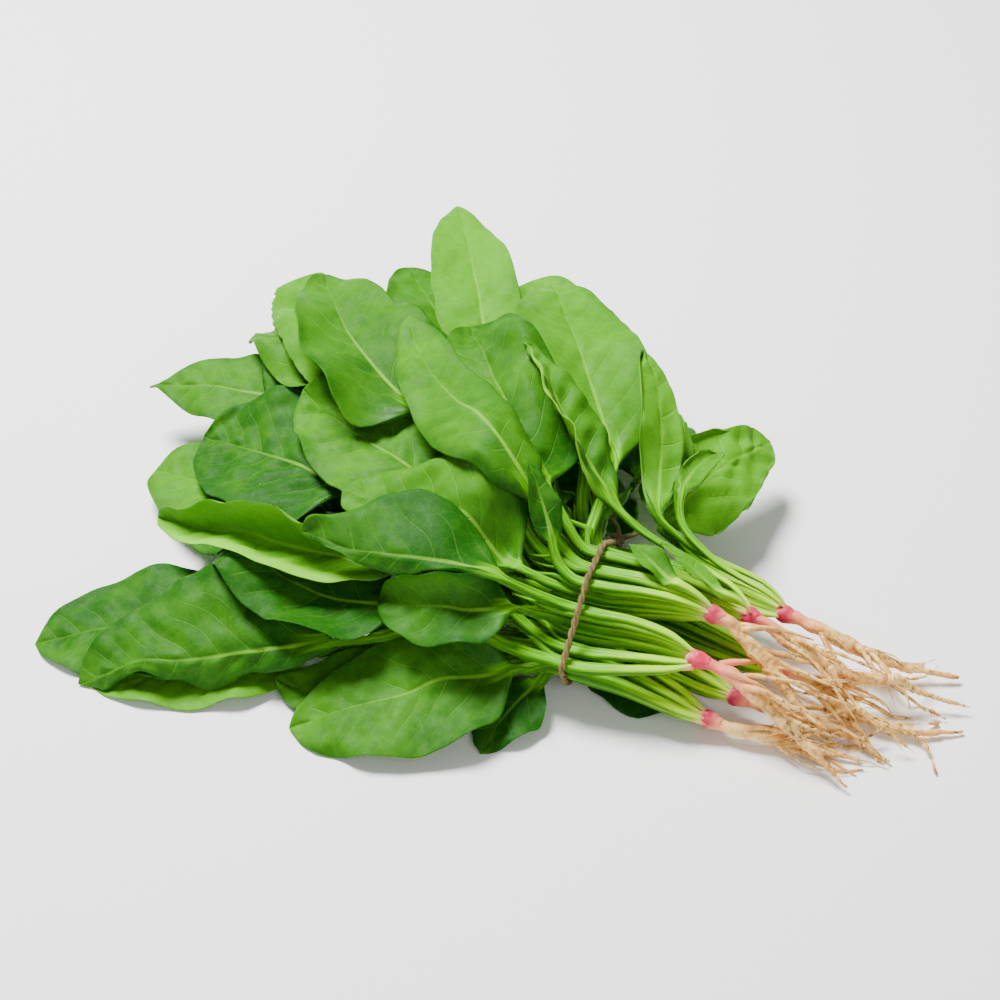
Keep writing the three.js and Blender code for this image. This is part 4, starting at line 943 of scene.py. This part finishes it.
def fine_root(name, crown_top, material, rng):
    """The solid root, rounded and wrinkled. Gives back its points and their normals."""
    points, _, faces = merged_solid(name)
    piece = add_mesh(name.replace("root_", "taproot_"), points, faces, material)
    fine = rounded(piece)
    points, normals = vectors_of(fine.vertices, "co"), vectors_of(fine.vertices, "normal")
    away = np.linalg.norm(points - crown_top, axis=1)
    push = waves(rng, LUMPS, points[:, 0], points[:, 1] + points[:, 2])
    push = push + waves(rng, WRINKLES, points[:, 0], 0.4 * points[:, 1]) * ease(away / WRINKLED_FROM)
    push = push - NECK_DRAWN * (1 - ease(away / NECK_LENGTH))
    points = points + normals * push[:, None]
    points[:, 2] = np.maximum(points[:, 2], CLEARANCE)
    points = kept_inside(points)
    fine.vertices.foreach_set("co", points.ravel())
    add_attributes(fine, {"from_crown": away / MM} | pink_of(name))
    fine.update()
    fine.shade_smooth()
    on_root_body(piece, "root", name)
    return points, normals


def crown_knob(name, top, way, material, rng):
    """A plant's crown: a knob on its root's top, drawn up round the ends of its stalks."""
    profile = np.array(KNOB_PROFILE)
    s = np.linspace(profile[0, 0], profile[-1, 0], KNOB_RINGS)
    radius = spline(-profile[:, 0], profile[:, 1], -s)
    angles = ring_angles(KNOB_SIDES)
    lobed = 1 + LOBE_HEIGHT * ease(-s / 4)[:, None] * np.cos(KNOB_LOBES * angles + rng.uniform(0, math.tau))
    lumps = waves(rng, KNOB_LUMPS, s[:, None] * MM, KNOB_RADIUS * angles)
    lobed = lobed + lumps * np.sin(angles)
    ring = ring_round(way, UP, angles)
    points = top + s[:, None, None] * MM * way + (radius[:, None] * lobed * MM)[..., None] * ring
    points = kept_inside(points.reshape(-1, 3))
    faces = grid_faces(KNOB_RINGS, KNOB_SIDES, capped=True)
    piece = add_mesh(name.replace("root_", "crown_"), points, faces, material)
    add_attributes(piece.data, {"from_crown": np.repeat(s, KNOB_SIDES)} | pink_of(name))
    on_root_body(piece, "root")


def side_root(start, way_out, length, thickness, steps, rng):
    """The line of a side root, drooping to the table, towards the middle of all the roots."""
    inwards = (ROOTS_MIDDLE - start[1]) / ROOTS_SPREAD
    ahead = unit(np.array([1.0, inwards + rng.uniform(-SIDE_ROOT_TURN, SIDE_ROOT_TURN), 0.0]))
    way = unit(SIDE_ROOT_OUT * way_out + ahead)
    path = start - 0.5 * thickness * way_out + (steps * length)[:, None] * way
    path[:, 1] += waves(rng, SIDE_ROOT_WAVES, steps * length, 0) * length * steps
    path[:, 2] += SIDE_ROOT_RISE * steps - SIDE_ROOT_DROOP * steps**2 * length
    path[:, 2] = np.maximum(path[:, 2], thickness * (1 - 0.5 * steps))
    return path


def root_hairs(name, points, normals, crown_top, material, rng):
    """Side roots, some stout and many thin, from the root's skin."""
    tubes = Tubes()
    far = np.linalg.norm(points - crown_top, axis=1)
    steps = np.linspace(0, 1, SIDE_ROOT_STEPS)
    taper = 1 - 0.75 * steps**1.5
    for count, nearest, farthest, lengths, thicknesses in SIDE_ROOTS:
        choice = np.flatnonzero((far > nearest * MM) & (far < farthest * MM) & (normals[:, 2] > -0.6))
        for _ in range(count):
            i = rng.choice(choice)
            length = rng.uniform(*lengths) * MM
            thickness = rng.uniform(*thicknesses) * MM
            path = side_root(points[i], normals[i], length, thickness, steps, rng)
            knotted = 1 + waves(rng, SIDE_ROOT_KNOTS, steps * length, 0)
            from_crown = (far[i] + steps * length) / MM
            tubes.add(path, thickness * knotted * taper, SIDE_ROOT_SIDES, from_crown=from_crown)
    on_root_body(tubes.piece(name.replace("root_", "root_hairs_"), material, **pink_of(name)), "root")


# ---- straw

def tie_route(leaves):
    """The way round the tied stalks, as evenly spaced points in the plane of the tie, and its length."""
    turns = ring_angles(ROUTE_CORNERS)
    corners = []
    for leaf in leaves:
        _, y, z = leaf.in_tie()
        half_width = np.linalg.norm(leaf.rows[TIE_ROW][0] - leaf.rows[TIE_ROW][3]) + STRAW_REACH
        half_height = leaf.halves[TIE_ROW] + STRAW_REACH
        corners.extend(zip(y + half_width * np.cos(turns), z + half_height * np.sin(turns)))
    outline = hull(corners)
    closed = np.vstack([outline, outline[:1]])
    along = walked(closed)
    length = along[-1]
    count = int(length / MM)
    at = np.arange(count) * length / count
    even = np.array([np.interp(at, along, closed[:, k]) for k in (0, 1)]).T
    reach = ROUNDING_REACH
    smooth = sum(np.roll(even, k, axis=0) for k in range(-reach, reach + 1)) / (2 * reach + 1)
    return np.column_stack([np.zeros(count), smooth]), length


def straw_tie(leaves, material):
    """Two strands of straw twisted to a cord, laid round the stalks and knotted at the top of the back."""
    rng = np.random.default_rng(STRAW_SEED)
    route, length = tie_route(leaves)
    count = len(route)
    along = unit(np.roll(route, -1, axis=0) - np.roll(route, 1, axis=0))
    outward = np.cross(along, ALONG_STALKS)
    at = np.arange(count)
    twist = at * math.tau * round(length / STRAND_PITCH) / count
    tubes = Tubes()
    ridges = ring_angles(STRAND_SIDES)
    sway = waves(rng, CORD_SWAY, at * MM, 0) * np.sin(np.pi * at / count)
    for strand in (0, math.pi):
        angle = (twist + strand)[:, None]
        path = route + STRAND_OFFSET * (np.cos(angle) * outward + np.sin(angle) * ALONG_STALKS)
        path[:, 0] += sway
        rough = 1 + STRAND_ROUGHNESS * (np.cos(5 * ridges + angle) + np.sin(3 * ridges + 2.3 * angle))
        tubes.add(path, STRAND_RADIUS * rough, STRAND_SIDES, ALONG_STALKS, closed=True)

    knot = int(np.argmax(route[:, 1] + route[:, 2]))
    basis = np.array([along[knot], ALONG_STALKS, outward[knot]])
    middle = route[knot] + KNOT_LIFT * outward[knot]
    path = middle + KNOT_SCALE * trefoil() @ basis
    tubes.add(path, KNOT_RADIUS, KNOT_SIDES, unit(outward[knot] + 0.3), closed=True)
    for tail in TAILS:
        frayed_tail(tubes, middle, np.array(tail) * MM, rng)
    loose_fibres(tubes, route, along, outward, rng)
    on_root_body(tubes.piece("twisted_straw", material), "straw", "straw_tie")


def trefoil():
    """A closed overhand knot."""
    t = ring_angles(KNOT_STEPS)
    return np.array([np.sin(t) + 2 * np.sin(2 * t), np.cos(t) - 2 * np.cos(2 * t), -1.2 * np.sin(3 * t)]).T


def frayed_tail(tubes, start, reach, rng):
    """An end of the cord, split into fibres at its tip."""
    steps = np.linspace(0, 1, TAIL_STEPS)[:, None]
    side = unit(np.cross(reach, UP + 0.1))
    path = start + steps * reach + np.sin(np.pi * steps) * TAIL_BOW * side
    tubes.add(path, TAIL_RADIUS * (1 - 0.25 * steps[:, 0]), TAIL_SIDES)
    count, step_count, sides, lengths, radii = TAIL_FIBRES
    steps = np.linspace(0, 1, step_count)[:, None]
    for _ in range(count):
        splay = rng.uniform(-SPLAY, SPLAY, 3)
        fibre = path[-3] + steps * (unit(unit(reach) + splay) * rng.uniform(*lengths) * MM)
        tubes.add(fibre, rng.uniform(*radii) * MM * (1 - 0.6 * steps[:, 0]), sides)


def loose_fibres(tubes, route, along, outward, rng):
    """Fibres that stand off the cord."""
    count, step_count, sides, lengths, radii = LOOSE_FIBRES
    steps = np.linspace(0, 1, step_count)[:, None]
    for _ in range(count):
        i = rng.integers(len(route))
        length = rng.uniform(*lengths) * MM
        lean = unit(along[i] * rng.choice([-1, 1]) + ALONG_STALKS * rng.uniform(-0.5, 0.5))
        path = route[i] + outward[i] * 1.3 * MM + steps * length * lean + steps**2 * length * 0.3 * outward[i]
        tubes.add(path, rng.uniform(*radii) * MM * (1 - 0.5 * steps[:, 0]), sides)


# ---- the scene

def look_along(thing, way):
    """Turns a camera or a lamp."""
    thing.rotation_mode = "QUATERNION"
    thing.rotation_quaternion = way.to_track_quat("-Z", "Y")


def add_camera():
    data = bpy.data.cameras.new("camera")
    data.lens = CAMERA_LENS
    camera = linked("camera", data)
    a, e = math.radians(CAMERA_AZIMUTH), math.radians(CAMERA_ELEVATION)
    back = Vector((math.sin(a) * math.cos(e), -math.cos(a) * math.cos(e), math.sin(e)))
    camera.location = Vector(CAMERA_AIM) + back * CAMERA_DISTANCE
    look_along(camera, -back)
    bpy.context.scene.camera = camera


def add_floor():
    s = FLOOR_HALF
    n = Nodes("pale_floor")
    n.put(n.shader, {"Base Color": FLOOR_WHITE, "Roughness": 0.9})
    floor = add_mesh("floor", [(-s, -s, 0), (s, -s, 0), (s, s, 0), (-s, s, 0)], [(0, 1, 2, 3)], n.material)


def add_lights():
    world = bpy.data.worlds.new("studio")
    world.use_nodes = True
    background = world.node_tree.nodes["Background"]
    background.inputs["Color"].default_value = (1, 1, 1, 1)
    background.inputs["Strength"].default_value = WORLD_STRENGTH
    bpy.context.scene.world = world
    for name, (place, aim, diameter, watts) in LIGHTS.items():
        data = bpy.data.lights.new(name, "AREA")
        data.shape = "DISK"
        data.size = diameter
        data.energy = watts
        lamp = linked(name, data)
        lamp.location = place
        look_along(lamp, Vector(aim) - Vector(place))


def main():
    add_camera()
    leaf, root, straw = leaf_material(), root_material(), straw_material()
    tops = crowns()
    leaves = [Leaf(name, tops) for name in nodes_of("leaf_")]
    for one in leaves:
        one.piece(leaf)
    tied = [one for one in leaves if one.tied]
    middle = np.mean([one.in_tie() for one in tied], axis=0)
    for k, (name, (top, way)) in enumerate(tops.items()):
        rng = np.random.default_rng(FIRST_ROOT_SEED + k)
        points, normals = fine_root(name, top, root, rng)
        crown_knob(name, top, way, root, rng)
        root_hairs(name, points, normals, top, root, rng)
        own = [one for one in tied if one.plant == name]
        young_stalks(name, top, own, middle, leaf, rng)
    straw_tie(tied, straw)
    add_floor()
    add_lights()


main()
